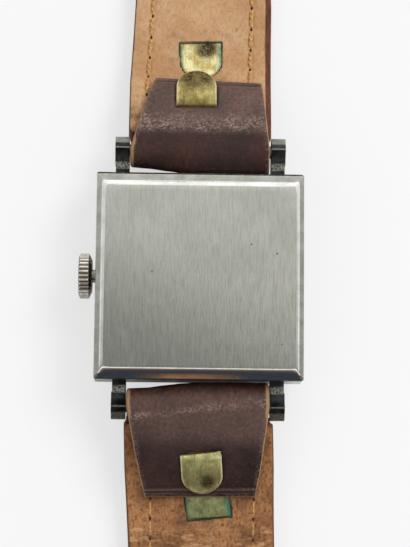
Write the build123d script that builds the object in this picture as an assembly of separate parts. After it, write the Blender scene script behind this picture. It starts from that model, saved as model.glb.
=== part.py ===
from build123d import *
import math
import os

os.makedirs("parts", exist_ok=True)

# A square wrist watch with a hand-wound movement and a two-piece leather strap, lying face down.
# Millimetres. The origin is the middle of the flat face of the case back, +Z points out of the
# back, +Y to twelve o'clock, and the crown stands out at -X.

# Clearances that all pieces share
slip = 0.05
seat_gap = 0.03
running_gap = 0.1
soft_gap = 0.3
overrun = 0.5

# Case: its outline and its levels, from the back face down to the table
case_width = 26.6
case_height = 26.7
case_corner_radius = 0.25
back_depth = 2.05
band_depth = 4.15
bezel_depth = 2.2
crystal_rise = 1.0
back_face_z = 0
band_back_z = back_face_z - back_depth
band_front_z = band_back_z - band_depth
bezel_front_z = band_front_z - bezel_depth
table_z = bezel_front_z - crystal_rise
half_width = case_width / 2
half_height = case_height / 2

# Case back: flat brushed field, polished slopes that meet in mitres, narrow ledge, upright rim, snap lip
back_wall = 0.8
back_rim = 1.3
back_ledge_side = 0.45
back_ledge_end = 0.7
back_ledge_rise = 0.1
back_slope_side = 1.1
back_slope_end = 1.75
back_slope_bulge = 0.12
case_wall = 1.6
bore_radius = min(half_width, half_height) - case_wall
plate_radius = bore_radius - slip
lip_wall = 0.55
lip_depth = 0.8
lip_radius = bore_radius + lip_wall

# Bezel and crystal
bezel_slope = 1.3
bezel_rim = 0.5
bezel_slope_bulge = 0.15
bezel_width = 3.1
window_width = min(case_width, case_height) - 2 * bezel_width
rehaut_depth = 1.0
crystal_ledge = 0.6
crystal_width = window_width + 2 * crystal_ledge
crystal_wall = 1.0
crystal_bevel = 0.5
crystal_back_z = band_front_z - rehaut_depth

# Lugs and lug bars
lug_gap = 18.4
lug_width = 1.75
lug_flare = 0.1
lug_bar_reach = 3.25
lug_bar_y = half_height + lug_bar_reach
lug_bar_z = -4.0
lug_tip_reach = 1.7
lug_tip_y = lug_bar_y + lug_tip_reach
lug_neck_rise = 0.75
lug_ridge_rise = 1.55
lug_end_rise = 0.6
lug_drop = 1.6
lug_neck_length = 1.3
lug_ridge_width = 0.15
lug_end_length = 0.85
lug_bar_radius = 0.8
lug_bar_seat = 0.9

# Crown, tube and stem
stem_z = -3.8
crown_radius = 2.91
crown_length = 1.26
crown_cone_length = 0.4
crown_cone_radius = 2.1
crown_dome = 0.18
crown_flutes = 32
crown_flute_radius = 0.17
crown_gap = 0.46
crown_bore_radius = 1.0
crown_bore_depth = 0.9
tube_radius = 0.83
tube_wall = 0.3
tube_depth = 1.4
stem_radius = 0.45
stem_pilot_radius = 0.3
stem_square_radius = 0.4
stem_groove_radius = 0.28
stem_groove_width = 0.5
stem_groove_back = 0.3
stem_inner_share = -0.40343
stem_inner_x = stem_inner_share * plate_radius
crown_travel = 0.8

# Movement: one plate, bridges above it, dial work below it. Its places and wheels are shares of
# the plate's radius.
plate_top_z = stem_z
dial_thickness = 0.3
dial_ledge = 1.0
dial_width = window_width + 2 * dial_ledge
dial_back_z = band_front_z + dial_thickness
bridge_thickness = 0.55
bridge_top_z = -1.85
bridge_low_z = bridge_top_z - bridge_thickness
bridge_inset = 0.35
bridge_radius = plate_radius - bridge_inset
bridge_split_y_share = -0.15021
bridge_split_y = bridge_split_y_share * plate_radius
bridge_split_gap = 0.15
pillar_radius = 0.9
dial_work_depth = 0.9
dial_work_radius_share = 0.48069
dial_work_radius = dial_work_radius_share * plate_radius
keyless_recess_depth = 0.45
pivot_radius = 0.12
arbor_radius = 0.2
pivot_hole_radius = pivot_radius + slip
jewel_radius = 0.5
jewel_height = 0.25
screw_head_radius = 0.75
screw_head_height = 0.3
screw_slot_width = 0.2
screw_slot_depth = 0.12
screw_shank_radius = 0.4
screw_edge = 1.1
screw_slot_angle = 20
barrel_screw_angles = (6, 43, 160)
train_screw_angles = (-31, -64)
train_bridge_low_x_share = -0.13734
train_bridge_low_x = train_bridge_low_x_share * plate_radius

# Going train: teeth, pitch radii and levels
tooth_tip_share = 0.14
tooth_root_share = 0.31
addendum_share = 0.9
dedendum_share = 1.2
wheel_thickness = 0.15
wheel_rim = 0.45
wheel_spoke_width = 0.4
wheel_hub_radius = 0.6
barrel_teeth = 75
barrel_pitch_radius_share = 0.44635
barrel_pitch_radius = barrel_pitch_radius_share * plate_radius
center_pinion_teeth = 10
center_teeth = 64
center_pitch_radius_share = 0.33476
center_pitch_radius = center_pitch_radius_share * plate_radius
third_pinion_teeth = 8
third_teeth = 60
third_pitch_radius_share = 0.28326
third_pitch_radius = third_pitch_radius_share * plate_radius
fourth_pinion_teeth = 8
fourth_teeth = 70
fourth_pitch_radius_share = 0.25751
fourth_pitch_radius = fourth_pitch_radius_share * plate_radius
escape_pinion_teeth = 7
escape_teeth = 15
escape_radius_share = 0.16309
escape_radius = escape_radius_share * plate_radius
escape_tooth_back_share = 0.36
barrel_height = 1.0
barrel_wall = 0.25
barrel_floor = 0.2
barrel_lid = 0.15
barrel_teeth_height = 0.3
barrel_arbor_radius = 0.75
center_wheel_z = -3.65
third_wheel_z = -3.1
fourth_wheel_z = -2.8
escape_wheel_z = -3.45
seconds_y_share = -0.48069
seconds_y = seconds_y_share * plate_radius

# Winding work on top of the barrel bridge
winding_wheel_thickness = 0.35
winding_wheel_low_z = bridge_top_z + slip
winding_wheel_top_z = winding_wheel_low_z + winding_wheel_thickness
crown_wheel_x_share = -0.55794
crown_wheel_x = crown_wheel_x_share * plate_radius
crown_wheel_teeth = 34
crown_wheel_radius_share = 0.24034
crown_wheel_radius = crown_wheel_radius_share * plate_radius
ratchet_teeth = 52
barrel_bearing_angle = 110
crown_wheel_hub_radius = 1.2
contrate_drop = 0.3
contrate_width = 0.5
winding_pinion_teeth = 20
winding_pinion_radius = 1.5
winding_pinion_inset = 1.75
winding_pinion_outer_x = winding_pinion_inset - plate_radius
stem_groove_x = winding_pinion_outer_x - stem_groove_back
winding_pinion_length = 1.2
sliding_pinion_radius = 1.25
sliding_pinion_length = 1.7
sliding_groove_radius = 0.8
sliding_groove_width = 0.5
clutch_gap = 0.05

# Spring of the barrel and of the balance, wound in half circles
mainspring_strip = 0.12
mainspring_turns = 8
mainspring_gap = 0.17
hairspring_strip = 0.06
hairspring_pitch = 0.22
hairspring_turns = 8
hairspring_start_radius = 0.55

# Balance, pallets, cock and regulator
balance_x_share = -0.44635
balance_x = balance_x_share * plate_radius
balance_y_share = -0.46352
balance_y = balance_y_share * plate_radius
balance_radius_share = 0.30901
balance_radius = balance_radius_share * plate_radius
balance_rim = 0.4
balance_rim_height = 0.35
balance_arm_width = 0.45
balance_top_z = -2.15
roller_radius = 0.5
roller_thickness = 0.15
roller_z = -3.05
impulse_pin_radius = 0.08
impulse_pin_reach = 0.3
escape_angle_from_seconds = -86.5
pallet_from_escape_share = 0.21459
pallet_from_escape = pallet_from_escape_share * plate_radius
fork_thickness = 0.15
fork_width = 0.4
fork_slot = 0.3
fork_hub_radius = 0.4
pallet_stone_share = 0.27
pallet_bridge_z = -3.15
pallet_bridge_thickness = 0.3
pallet_foot_radius = 0.45
pallet_foot_near_share = 0.11159
pallet_foot_near = pallet_foot_near_share * plate_radius
pallet_foot_far_share = 0.13734
pallet_foot_far = pallet_foot_far_share * plate_radius
cock_foot_x_share = -0.7897
cock_foot_x = cock_foot_x_share * plate_radius
cock_foot_y_share = -0.25751
cock_foot_y = cock_foot_y_share * plate_radius
cock_foot_radius = 0.8
cock_head_radius = 1.3
cock_low_z = -1.75
cock_top_z = -1.15
regulator_thickness = 0.15
regulator_outer = 0.95
regulator_inner = 0.65
regulator_length = 2.2
regulator_angle = 60
stud_radius = 0.15

# Click that holds the ratchet wheel
click_x_share = 0.39485
click_x = click_x_share * plate_radius
click_y_share = 0.46352
click_y = click_y_share * plate_radius
click_thickness = 0.3
click_radius = 0.6
click_nose = 0.5
click_pin_radius = 0.3
click_spring_width = 0.2
click_spring_length_share = 0.25751
click_spring_length = click_spring_length_share * plate_radius

# Keyless levers in the dial side of the plate
lever_thickness = 0.25
lever_gap = 0.08
lever_arm_width = 0.8
setting_pivot_x_share = -0.7897
setting_pivot_x = setting_pivot_x_share * plate_radius
setting_pivot_y_share = -0.27468
setting_pivot_y = setting_pivot_y_share * plate_radius
setting_pin_radius = 0.18
yoke_pivot_x_share = -0.53219
yoke_pivot_x = yoke_pivot_x_share * plate_radius
yoke_pivot_y_share = -0.30901
yoke_pivot_y = yoke_pivot_y_share * plate_radius
lever_hub_radius = 0.7
lever_post_radius = 0.3

# Dial work, and hands set to ten past ten: seen from the back, with +Y up, three o'clock is at -X
cannon_teeth = 10
minute_wheel_teeth = 30
minute_pinion_teeth = 8
hour_wheel_teeth = 32
motion_distance_share = 0.25751
motion_distance = motion_distance_share * plate_radius
motion_bearing_angle = 160
cannon_pipe_radius = 0.5
hour_pipe_radius = 0.8
hand_thickness = 0.15
seconds_hand_z = -6.45
hour_hand_z = -6.75
minute_hand_z = -7.1
minute_hand_gap = 2.0
minute_hand_length = window_width / 2 - minute_hand_gap
hour_hand_short = 3.0
hour_hand_length = minute_hand_length - hour_hand_short
hand_width = 1.0
hand_tail = 1.4
seconds_dial_radius_share = 0.25751
seconds_dial_radius = seconds_dial_radius_share * plate_radius
seconds_dial_depth = 0.1
seconds_hand_gap = 0.6
seconds_hand_length = seconds_dial_radius - seconds_hand_gap
marker_length = 1.5
marker_width = 0.55
marker_height = 0.12
marker_inset = 0.7
marker_corner_share = 0.82
hour_hand_angle = 145
minute_hand_angle = 30
seconds_hand_angle = 250

# Strap: layers, route and plan. The run is measured from the lug bar outwards, and the level
# of a layer is its height above the middle line that passes through the lug bar.
leather = 1.25
padding = 0.7
lining = 1.0
wrap_inner_radius = lug_bar_radius + slip
wrap_radius = wrap_inner_radius + leather
lining_top = wrap_inner_radius
lining_low = lining_top - lining
padding_low = lining_low - padding
outer_low = -wrap_radius
flap_top = wrap_radius
strap_slope_run = 16.0
strap_flat_run = 6.0
strap_side_gap = 0.25
strap_root_half = lug_gap / 2 - strap_side_gap
strap_shoulder = 0.55
strap_half = strap_root_half + strap_shoulder
strap_shoulder_run = 2.6
strap_shoulder_end_run = 4.2
lining_start_run = 2.3
padding_start_run = 1.3
strap_12_curl_radius = 55.0
strap_12_curl_run = 22.0
strap_12_end_run = 26.0
strap_12_taper = 1.3
strap_12_end_half = strap_half - strap_12_taper
strap_6_curl_radius = 90.0
strap_6_curl_run = 50.0
strap_6_end_run = 32.0
strap_6_taper = 1.7
strap_6_end_half = strap_half - strap_6_taper
strap_6_tip_length = 9.0
strap_6_tip_half = 2.5
strap_6_lean = 0.7
strap_taper_run = 18.0
flap_12_left_inset = 3.4
flap_12_left_run = 10.0
flap_12_right_inset = 1.3
flap_12_right_run = 9.3
flap_6_left_inset = 2.6
flap_6_right_inset = 1.8
flap_6_run = 11.35
hole_count = 7
hole_radius = 0.9
hole_step = 6.5
hole_end_run = 22.0

# Brass clip of each half: a base inside the strap and two legs with round ends
clip_width = 5.2
clip_thickness = 0.4
clip_base_low = lining_low - clip_thickness
clip_leg_run = 5.65
clip_leg_end_run = 10.9
clip_12_slit_run = 15.5
clip_6_slit_run = 14.3
clip_leg_length = 5.1

# Buckle, tang and keepers
buckle_bar_radius = 0.8
buckle_bar_end_radius = 0.45
buckle_arm_gap = 0.3
buckle_arm_width = 1.5
buckle_thickness = 1.5
buckle_reach = 9.6
buckle_far_bar = 1.6
buckle_tail = 1.3
tang_half = 0.85
tang_ring_radius = 1.4
tang_thickness = 0.85
tang_gap = 0.1
tang_slot_half = 1.2
tang_slot_run = 4.0
return_run = 9.5
keeper_wall = 1.0
keeper_length = 5.0
keeper_headroom = 1.6
fixed_keeper_back = 7.0
free_keeper_back = 14.0
keeper_travel = 9.0


def disc(radius, low_z, high_z, x=0, y=0):
    """Upright cylinder between two levels."""
    base = (Align.CENTER, Align.CENTER, Align.MIN)
    return Pos(x, y, low_z) * Cylinder(radius, high_z - low_z, align=base)


def block(low, high):
    """Box between two opposite corners."""
    sides = [high[i] - low[i] for i in range(3)]
    return Pos(*low) * Box(*sides, align=(Align.MIN, Align.MIN, Align.MIN))


def rod(radius, low_x, high_x, y=0, z=0):
    """Cylinder along X between two places."""
    base = (Align.CENTER, Align.CENTER, Align.MIN)
    return Pos(low_x, y, z) * Rot(0, 90, 0) * Cylinder(radius, high_x - low_x, align=base)


def outline(points):
    """Flat face inside a closed run of straight lines."""
    return make_face(Polyline(*points, close=True))


def slab(face, low_z, high_z):
    """Flat face raised between two levels."""
    return extrude(Pos(0, 0, low_z) * face, amount=high_z - low_z)


def link(x_a, y_a, radius_a, x_b, y_b, radius_b, low_z, high_z):
    """Flat bar with round ends, as wide at each end as its own disc."""
    length = math.hypot(x_b - x_a, y_b - y_a)
    bearing = math.atan2(y_b - y_a, x_b - x_a)
    lean = math.acos((radius_a - radius_b) / length)
    corners = []
    for side in (lean, -lean):
        reach = ((x_a, y_a, radius_a), (x_b, y_b, radius_b))
        for x, y, radius in reach if side > 0 else reversed(reach):
            corners.append((x + radius * math.cos(bearing + side), y + radius * math.sin(bearing + side)))
    bar = slab(outline(corners), low_z, high_z)
    return bar + disc(radius_a, low_z, high_z, x_a, y_a) + disc(radius_b, low_z, high_z, x_b, y_b)


def turned(points, x=0, y=0):
    """Round piece about an upright axis from points of radius and level."""
    section = Plane.XZ * outline(points)
    return Pos(x, y, 0) * revolve(section, axis=Axis.Z)


def turned_x(points, y=0, z=0):
    """Round piece about an axis along X from points of place and radius."""
    section = outline(points)
    return Pos(0, y, z) * revolve(section, axis=Axis.X)


def gear_face(teeth, pitch_radius, phase):
    """Toothed disc with straight flanks, one tooth centred on the phase angle."""
    module = 2 * pitch_radius / teeth
    tip = pitch_radius + addendum_share * module
    root = pitch_radius - dedendum_share * module
    corners = []
    for tooth in range(teeth):
        for radius, share in ((root, -tooth_root_share), (tip, -tooth_tip_share),
                              (tip, tooth_tip_share), (root, tooth_root_share)):
            angle = math.radians(phase + (tooth + share) * 360 / teeth)
            corners.append((radius * math.cos(angle), radius * math.sin(angle)))
    return outline(corners)


def meshed_phase(phase, teeth, other_teeth, bearing):
    """Phase of a second wheel whose gaps receive the teeth of the first."""
    return bearing + 180 - (phase - bearing) * teeth / other_teeth - 180 / other_teeth


def pitch_of_pinion(wheel_radius, wheel_teeth, pinion_teeth):
    """Pitch radius of the pinion that a wheel drives."""
    return wheel_radius * pinion_teeth / wheel_teeth


def spoked_wheel(teeth, pitch_radius, phase, low_z, thickness, x, y, spokes=4):
    """Wheel with a toothed rim, spokes and a hub."""
    module = 2 * pitch_radius / teeth
    inner = pitch_radius - dedendum_share * module - wheel_rim
    high_z = low_z + thickness
    rim = slab(gear_face(teeth, pitch_radius, phase), low_z, high_z) - disc(inner, low_z, high_z)
    wheel = rim + disc(wheel_hub_radius, low_z, high_z)
    reach = inner + module / 2
    for spoke in range(spokes // 2):
        arm = block((-reach, -wheel_spoke_width / 2, low_z), (reach, wheel_spoke_width / 2, high_z))
        wheel = wheel + Rot(0, 0, spoke * 360 / spokes) * arm
    return Pos(x, y, 0) * wheel


def pinion(teeth, pitch_radius, phase, low_z, high_z, x, y):
    """Solid pinion."""
    return Pos(x, y, 0) * slab(gear_face(teeth, pitch_radius, phase), low_z, high_z)


def spiral(start_radius, pitch, turns, strip, low_z, high_z):
    """Strip wound outwards in half circles about two centres half a pitch apart."""
    coil = None
    for half in range(2 * turns):
        inner = start_radius + half * pitch / 2
        outer = inner + strip
        upper = half % 2 == 0
        middle = 0 if upper else pitch / 2
        side = 1 if upper else -1
        start_in, start_out = (middle + inner, 0), (middle + outer, 0)
        end_in, end_out = (middle - inner, 0), (middle - outer, 0)
        inside = ThreePointArc(start_in, (middle, side * inner), end_in)
        outside = ThreePointArc(end_out, (middle, side * outer), start_out)
        face = make_face([inside, Line(end_in, end_out), outside, Line(start_out, start_in)])
        part = slab(face, low_z, high_z)
        coil = part if coil is None else coil + part
    return coil


def slope_section(half, slope, rim, bulge, seat_z, face_z, ledge=0, ledge_rise=0):
    """Section with a flat face, convex slopes, an upright rim, and a ledge between where one is given."""
    way = 1 if face_z > seat_z else -1
    rim_z = seat_z + way * rim
    foot_x = half - ledge
    foot_z = rim_z + way * ledge_rise
    run = slope - ledge
    rise = abs(face_z - foot_z)
    length = math.hypot(run, rise)
    mid_x = foot_x - run / 2 + bulge * rise / length
    mid_z = (foot_z + face_z) / 2 + way * bulge * run / length
    right = [Line((half, seat_z), (half, rim_z))]
    left = [Line((-half, rim_z), (-half, seat_z))]
    if ledge:
        right.append(Line((half, rim_z), (foot_x, foot_z)))
        left.insert(0, Line((-foot_x, foot_z), (-half, rim_z)))
    right.append(ThreePointArc((foot_x, foot_z), (mid_x, mid_z), (half - slope, face_z)))
    left.insert(0, ThreePointArc((-half + slope, face_z), (-mid_x, mid_z), (-foot_x, foot_z)))
    return make_face([Line((-half, seat_z), (half, seat_z)), *right,
                      Line((half - slope, face_z), (-half + slope, face_z)), *left])


def square_block(width, height, low_z, high_z, radius=0):
    """Square block about the middle, with rounded upright edges where a radius is given."""
    body = block((-width / 2, -height / 2, low_z), (width / 2, height / 2, high_z))
    if radius:
        body = fillet(body.edges().filter_by(Axis.Z), radius)
    return body


# Case
def make_case_back():
    """Case back: flat field, sloped edges with a ledge, hollow inside, lip that snaps into the band."""
    across = slope_section(half_width, back_slope_side, back_rim, back_slope_bulge, band_back_z, back_face_z,
                           back_ledge_side, back_ledge_rise)
    along = slope_section(half_height, back_slope_end, back_rim, back_slope_bulge, band_back_z, back_face_z,
                          back_ledge_end, back_ledge_rise)
    shell = extrude(Plane.XZ * across, amount=case_height, both=True)
    shell = shell & extrude(Plane.YZ * along, amount=case_width, both=True)
    shell = shell - disc(bore_radius, band_back_z - overrun, back_face_z - back_wall)
    lip = disc(lip_radius - slip, band_back_z - lip_depth, band_back_z)
    lip = lip - disc(bore_radius, band_back_z - lip_depth, band_back_z)
    return shell + lip


def make_case_middle():
    """Band: bore for the movement, lip recess at the back, dial recess at the front."""
    body = square_block(case_width, case_height, band_front_z, band_back_z, case_corner_radius)
    body = body - disc(bore_radius, dial_back_z, band_back_z)
    body = body - disc(lip_radius, band_back_z - lip_depth - slip, band_back_z)
    recess = dial_width + 2 * slip
    body = body - square_block(recess, recess, band_front_z, dial_back_z)
    return body - rod(tube_radius + seat_gap, -half_width, -bore_radius + overrun, z=stem_z)


def make_bezel():
    """Front frame: sloped sides, inner ring round the dial and a seat for the crystal."""
    across = slope_section(half_width, bezel_slope, bezel_rim, bezel_slope_bulge, band_front_z, bezel_front_z)
    along = slope_section(half_height, bezel_slope, bezel_rim, bezel_slope_bulge, band_front_z, bezel_front_z)
    body = extrude(Plane.XZ * across, amount=case_height, both=True)
    body = body & extrude(Plane.YZ * along, amount=case_width, both=True)
    seat = crystal_width + 2 * slip
    body = body - square_block(seat, seat, bezel_front_z - overrun, crystal_back_z)
    return body - square_block(window_width, window_width, bezel_front_z, band_front_z + overrun)


def make_crystal():
    """Raised square crystal with bevelled edges, hollow over the hands."""
    body = square_block(crystal_width, crystal_width, table_z, crystal_back_z)
    front = body.faces().sort_by(Axis.Z)[0]
    body = chamfer(front.edges(), crystal_bevel)
    hollow = crystal_width - 2 * crystal_wall
    return body - square_block(hollow, hollow, table_z + crystal_wall, crystal_back_z)


def lug_section():
    """Side view of a lug: neck facet, hollow rise to the ridge, sloped end facet, curved underside."""
    neck_z = lug_bar_z + lug_neck_rise
    ridge_z = lug_bar_z + lug_ridge_rise
    end_z = lug_bar_z + lug_end_rise
    low_z = lug_bar_z - lug_drop
    neck_y = half_height + lug_neck_length
    ridge_y = lug_bar_y + lug_ridge_width
    end_y = lug_tip_y - lug_end_length
    hollow = ((neck_y + 2 * lug_bar_y) / 3, (2 * neck_z + ridge_z) / 3)
    under = ((half_height + lug_tip_y) / 2 + lug_end_length, low_z + lug_ridge_width)
    edges = [Line((half_height, low_z), (half_height, neck_z)), Line((half_height, neck_z), (neck_y, neck_z)),
             ThreePointArc((neck_y, neck_z), hollow, (lug_bar_y, ridge_z)),
             Line((lug_bar_y, ridge_z), (ridge_y, ridge_z)),
             Line((ridge_y, ridge_z), (end_y, (ridge_z + end_z) / 2)),
             Line((end_y, (ridge_z + end_z) / 2), (lug_tip_y, end_z)),
             Line((lug_tip_y, end_z), (lug_tip_y, lug_bar_z - lug_end_rise)),
             ThreePointArc((lug_tip_y, lug_bar_z - lug_end_rise), under, (half_height, low_z))]
    return make_face(edges)


def make_lug(side, end):
    """One lug with its bar hole. Side is +1 at +X, end is +1 at twelve o'clock."""
    face = Plane.YZ * lug_section()
    inner = lug_gap / 2
    body = extrude(Pos(inner, 0, 0) * face, amount=lug_width)
    knob_y = half_height + lug_neck_length + lug_ridge_width
    knob = extrude(Pos(inner, 0, 0) * face, amount=lug_width + lug_flare)
    low = (inner, knob_y, table_z)
    knob = knob & block(low, (inner + lug_width + lug_flare, lug_tip_y, back_face_z))
    body = body + knob
    hole = rod(lug_bar_radius + seat_gap, inner - overrun, inner + lug_bar_seat + slip, lug_bar_y, lug_bar_z)
    body = body - hole
    if side < 0:
        body = mirror(body, about=Plane.YZ)
    if end < 0:
        body = mirror(body, about=Plane.XZ)
    return body


def make_lug_bar(end):
    """Fixed bar between two lugs, its ends seated in their holes."""
    reach = lug_gap / 2 + lug_bar_seat
    return rod(lug_bar_radius, -reach, reach, end * lug_bar_y, lug_bar_z)


# Crown on its tube, and the stem that it turns
crown_inner_x = -half_width - crown_gap
crown_outer_x = crown_inner_x - crown_cone_length - crown_length


def make_crown():
    """Fluted crown: conical back, slightly domed end, bore over the tube and a boss for the stem."""
    cone_x = crown_inner_x - crown_cone_length
    end_x = crown_outer_x
    head = turned_x([(cone_x, 0), (crown_inner_x, 0), (crown_inner_x, crown_cone_radius),
                     (cone_x, crown_radius), (end_x + crown_dome, crown_radius),
                     (end_x, crown_radius - 2 * crown_dome), (end_x, 0)])
    for flute in range(crown_flutes):
        angle = math.radians(flute * 360 / crown_flutes)
        y = crown_radius * math.cos(angle)
        z = crown_radius * math.sin(angle)
        head = head - rod(crown_flute_radius, end_x - overrun, cone_x + overrun, y, z)
    bore_end = crown_inner_x - crown_bore_depth
    head = head - rod(crown_bore_radius, bore_end, crown_inner_x + overrun)
    boss = rod(stem_radius + tube_wall / 2, bore_end, bore_end + crown_bore_depth / 2)
    hole = rod(stem_radius, bore_end, crown_inner_x)
    return Pos(0, 0, stem_z) * (head + boss - hole)


def make_crown_tube():
    """Tube pressed into the band, which guides the crown."""
    outer_x = crown_inner_x - crown_bore_depth / 2 + running_gap
    tube = rod(tube_radius, outer_x, -half_width + tube_depth, z=stem_z)
    return tube - rod(tube_radius - tube_wall, outer_x, -half_width + tube_depth, z=stem_z)


def make_stem():
    """Stem: threaded end in the crown, groove for the setting lever, square and pilot."""
    start = crown_inner_x - crown_bore_depth
    groove_low = stem_groove_x - stem_groove_width / 2
    groove_high = stem_groove_x + stem_groove_width / 2
    square_x = winding_pinion_outer_x + winding_pinion_length
    pilot_x = square_x + sliding_pinion_length + crown_travel + clutch_gap
    return turned_x([(start, 0), (start, stem_radius), (groove_low, stem_radius),
                     (groove_low, stem_groove_radius), (groove_high, stem_groove_radius),
                     (groove_high, stem_radius), (winding_pinion_outer_x, stem_radius),
                     (winding_pinion_outer_x, stem_square_radius), (pilot_x, stem_square_radius),
                     (pilot_x, stem_pilot_radius), (stem_inner_x, stem_pilot_radius),
                     (stem_inner_x, 0)], z=stem_z)


def make_winding_pinion():
    """Pinion that turns with the stem and drives the crown wheel."""
    low_x = winding_pinion_outer_x + slip
    high_x = winding_pinion_outer_x + winding_pinion_length
    face = gear_face(winding_pinion_teeth, winding_pinion_radius, 90)
    body = extrude(Plane.YZ.offset(low_x) * face, amount=high_x - low_x)
    body = body - rod(stem_radius + slip, low_x - overrun, high_x + overrun)
    return Pos(0, 0, stem_z) * body


def make_sliding_pinion():
    """Pinion that slides on the square of the stem, with a groove for the yoke."""
    low_x = winding_pinion_outer_x + winding_pinion_length + clutch_gap
    high_x = low_x + sliding_pinion_length
    mid_x = (low_x + high_x) / 2
    groove_low = mid_x - sliding_groove_width / 2
    groove_high = mid_x + sliding_groove_width / 2
    body = turned_x([(low_x, 0), (low_x, sliding_pinion_radius), (groove_low, sliding_pinion_radius),
                     (groove_low, sliding_groove_radius), (groove_high, sliding_groove_radius),
                     (groove_high, sliding_pinion_radius), (high_x, sliding_pinion_radius), (high_x, 0)])
    body = body - rod(stem_square_radius + slip, low_x - overrun, high_x + overrun)
    return Pos(0, 0, stem_z) * body


# Places of the train in plan
def polar(x, y, distance, angle):
    """Place at a distance and a bearing from another."""
    return (x + distance * math.cos(math.radians(angle)), y + distance * math.sin(math.radians(angle)))


def bearing_of(start, end):
    """Bearing of one place from another, in degrees."""
    return math.degrees(math.atan2(end[1] - start[1], end[0] - start[0]))


center_pinion_radius = pitch_of_pinion(barrel_pitch_radius, barrel_teeth, center_pinion_teeth)
third_pinion_radius = pitch_of_pinion(center_pitch_radius, center_teeth, third_pinion_teeth)
fourth_pinion_radius = pitch_of_pinion(third_pitch_radius, third_teeth, fourth_pinion_teeth)
escape_pinion_radius = pitch_of_pinion(fourth_pitch_radius, fourth_teeth, escape_pinion_teeth)
center_place = (0, 0)
barrel_place = polar(0, 0, barrel_pitch_radius + center_pinion_radius, barrel_bearing_angle)
fourth_place = (0, seconds_y)
center_to_third = center_pitch_radius + third_pinion_radius
third_to_fourth = third_pitch_radius + fourth_pinion_radius
third_y = (center_to_third ** 2 - third_to_fourth ** 2 + seconds_y ** 2) / (2 * seconds_y)
third_place = (math.sqrt(center_to_third ** 2 - third_y ** 2), third_y)
escape_place = polar(*fourth_place, fourth_pitch_radius + escape_pinion_radius, escape_angle_from_seconds)
balance_place = (balance_x, balance_y)
escape_to_balance = bearing_of(escape_place, balance_place)
pallet_place = polar(*escape_place, pallet_from_escape, escape_to_balance)
crown_wheel_place = (crown_wheel_x, 0)
winding_distance = math.dist(crown_wheel_place, barrel_place)
ratchet_radius = winding_distance - crown_wheel_radius
motion_place = polar(0, 0, motion_distance, motion_bearing_angle)
click_place = (click_x, click_y)

# Phases, each from the wheel before it
fourth_phase = 0
third_phase = meshed_phase(fourth_phase, fourth_pinion_teeth, third_teeth,
                           bearing_of(fourth_place, third_place))
third_pinion_phase = 0
center_phase = meshed_phase(third_pinion_phase, third_pinion_teeth, center_teeth,
                            bearing_of(third_place, center_place))
center_pinion_phase = 0
barrel_phase = meshed_phase(center_pinion_phase, center_pinion_teeth, barrel_teeth,
                            bearing_of(center_place, barrel_place))
fourth_wheel_phase = 0
escape_phase = meshed_phase(fourth_wheel_phase, fourth_teeth, escape_pinion_teeth,
                            bearing_of(fourth_place, escape_place))
crown_wheel_phase = 0
ratchet_phase = meshed_phase(crown_wheel_phase, crown_wheel_teeth, ratchet_teeth,
                             bearing_of(crown_wheel_place, barrel_place))
cannon_phase = 0
minute_wheel_phase = meshed_phase(cannon_phase, cannon_teeth, minute_wheel_teeth,
                                  bearing_of(center_place, motion_place))
minute_pinion_phase = 0
hour_wheel_phase = meshed_phase(minute_pinion_phase, minute_pinion_teeth, hour_wheel_teeth,
                                bearing_of(motion_place, center_place))

# Levels of the barrel
barrel_top_z = bridge_low_z - slip
barrel_low_z = barrel_top_z - barrel_height


def make_barrel_drum():
    """Open drum with its teeth round the floor."""
    inner = barrel_pitch_radius - wheel_rim - barrel_wall
    face = gear_face(barrel_teeth, barrel_pitch_radius, barrel_phase)
    body = slab(face, barrel_low_z, barrel_low_z + barrel_teeth_height)
    body = body + disc(inner + barrel_wall, barrel_low_z, barrel_top_z)
    body = body - disc(inner, barrel_low_z + barrel_floor, barrel_top_z)
    body = body - disc(barrel_arbor_radius / 2 + slip, barrel_low_z, barrel_top_z)
    return Pos(*barrel_place, 0) * body


def make_barrel_lid():
    """Lid snapped into the open side of the drum."""
    inner = barrel_pitch_radius - wheel_rim - barrel_wall
    lid = disc(inner - seat_gap, barrel_top_z - barrel_lid, barrel_top_z)
    lid = lid - disc(barrel_arbor_radius / 2 + slip, barrel_top_z - barrel_lid, barrel_top_z)
    return Pos(*barrel_place, 0) * lid


def make_mainspring():
    """Spring coil between the arbor and the wall of the drum."""
    start = barrel_arbor_radius + running_gap
    room = barrel_pitch_radius - wheel_rim - barrel_wall - start - mainspring_strip - mainspring_gap
    low_z = barrel_low_z + barrel_floor + slip
    high_z = barrel_top_z - barrel_lid - slip
    coil = spiral(start, room / mainspring_turns, mainspring_turns, mainspring_strip, low_z, high_z)
    return Pos(*barrel_place, 0) * coil


def make_barrel_arbor():
    """Arbor: journals in plate and bridge, thick middle for the spring."""
    thin = barrel_arbor_radius / 2
    low_z = plate_top_z - wheel_rim
    core_low = barrel_low_z + barrel_floor + slip
    core_high = barrel_top_z - barrel_lid - slip
    body = turned([(0, low_z), (thin, low_z), (thin, core_low), (barrel_arbor_radius, core_low),
                   (barrel_arbor_radius, core_high), (thin, core_high), (thin, winding_wheel_top_z),
                   (0, winding_wheel_top_z)])
    return Pos(*barrel_place, 0) * body


def make_ratchet_wheel():
    """Ratchet wheel on the arbor's square, with its screw."""
    face = gear_face(ratchet_teeth, ratchet_radius, ratchet_phase)
    wheel = slab(face, winding_wheel_low_z, winding_wheel_top_z)
    wheel = wheel - disc(barrel_arbor_radius / 2 + seat_gap, winding_wheel_low_z, winding_wheel_top_z)
    screw = disc(screw_head_radius, winding_wheel_top_z, winding_wheel_top_z + screw_head_height)
    screw = screw - slot_cut(winding_wheel_top_z + screw_head_height)
    return Pos(*barrel_place, 0) * (wheel + screw)


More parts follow.
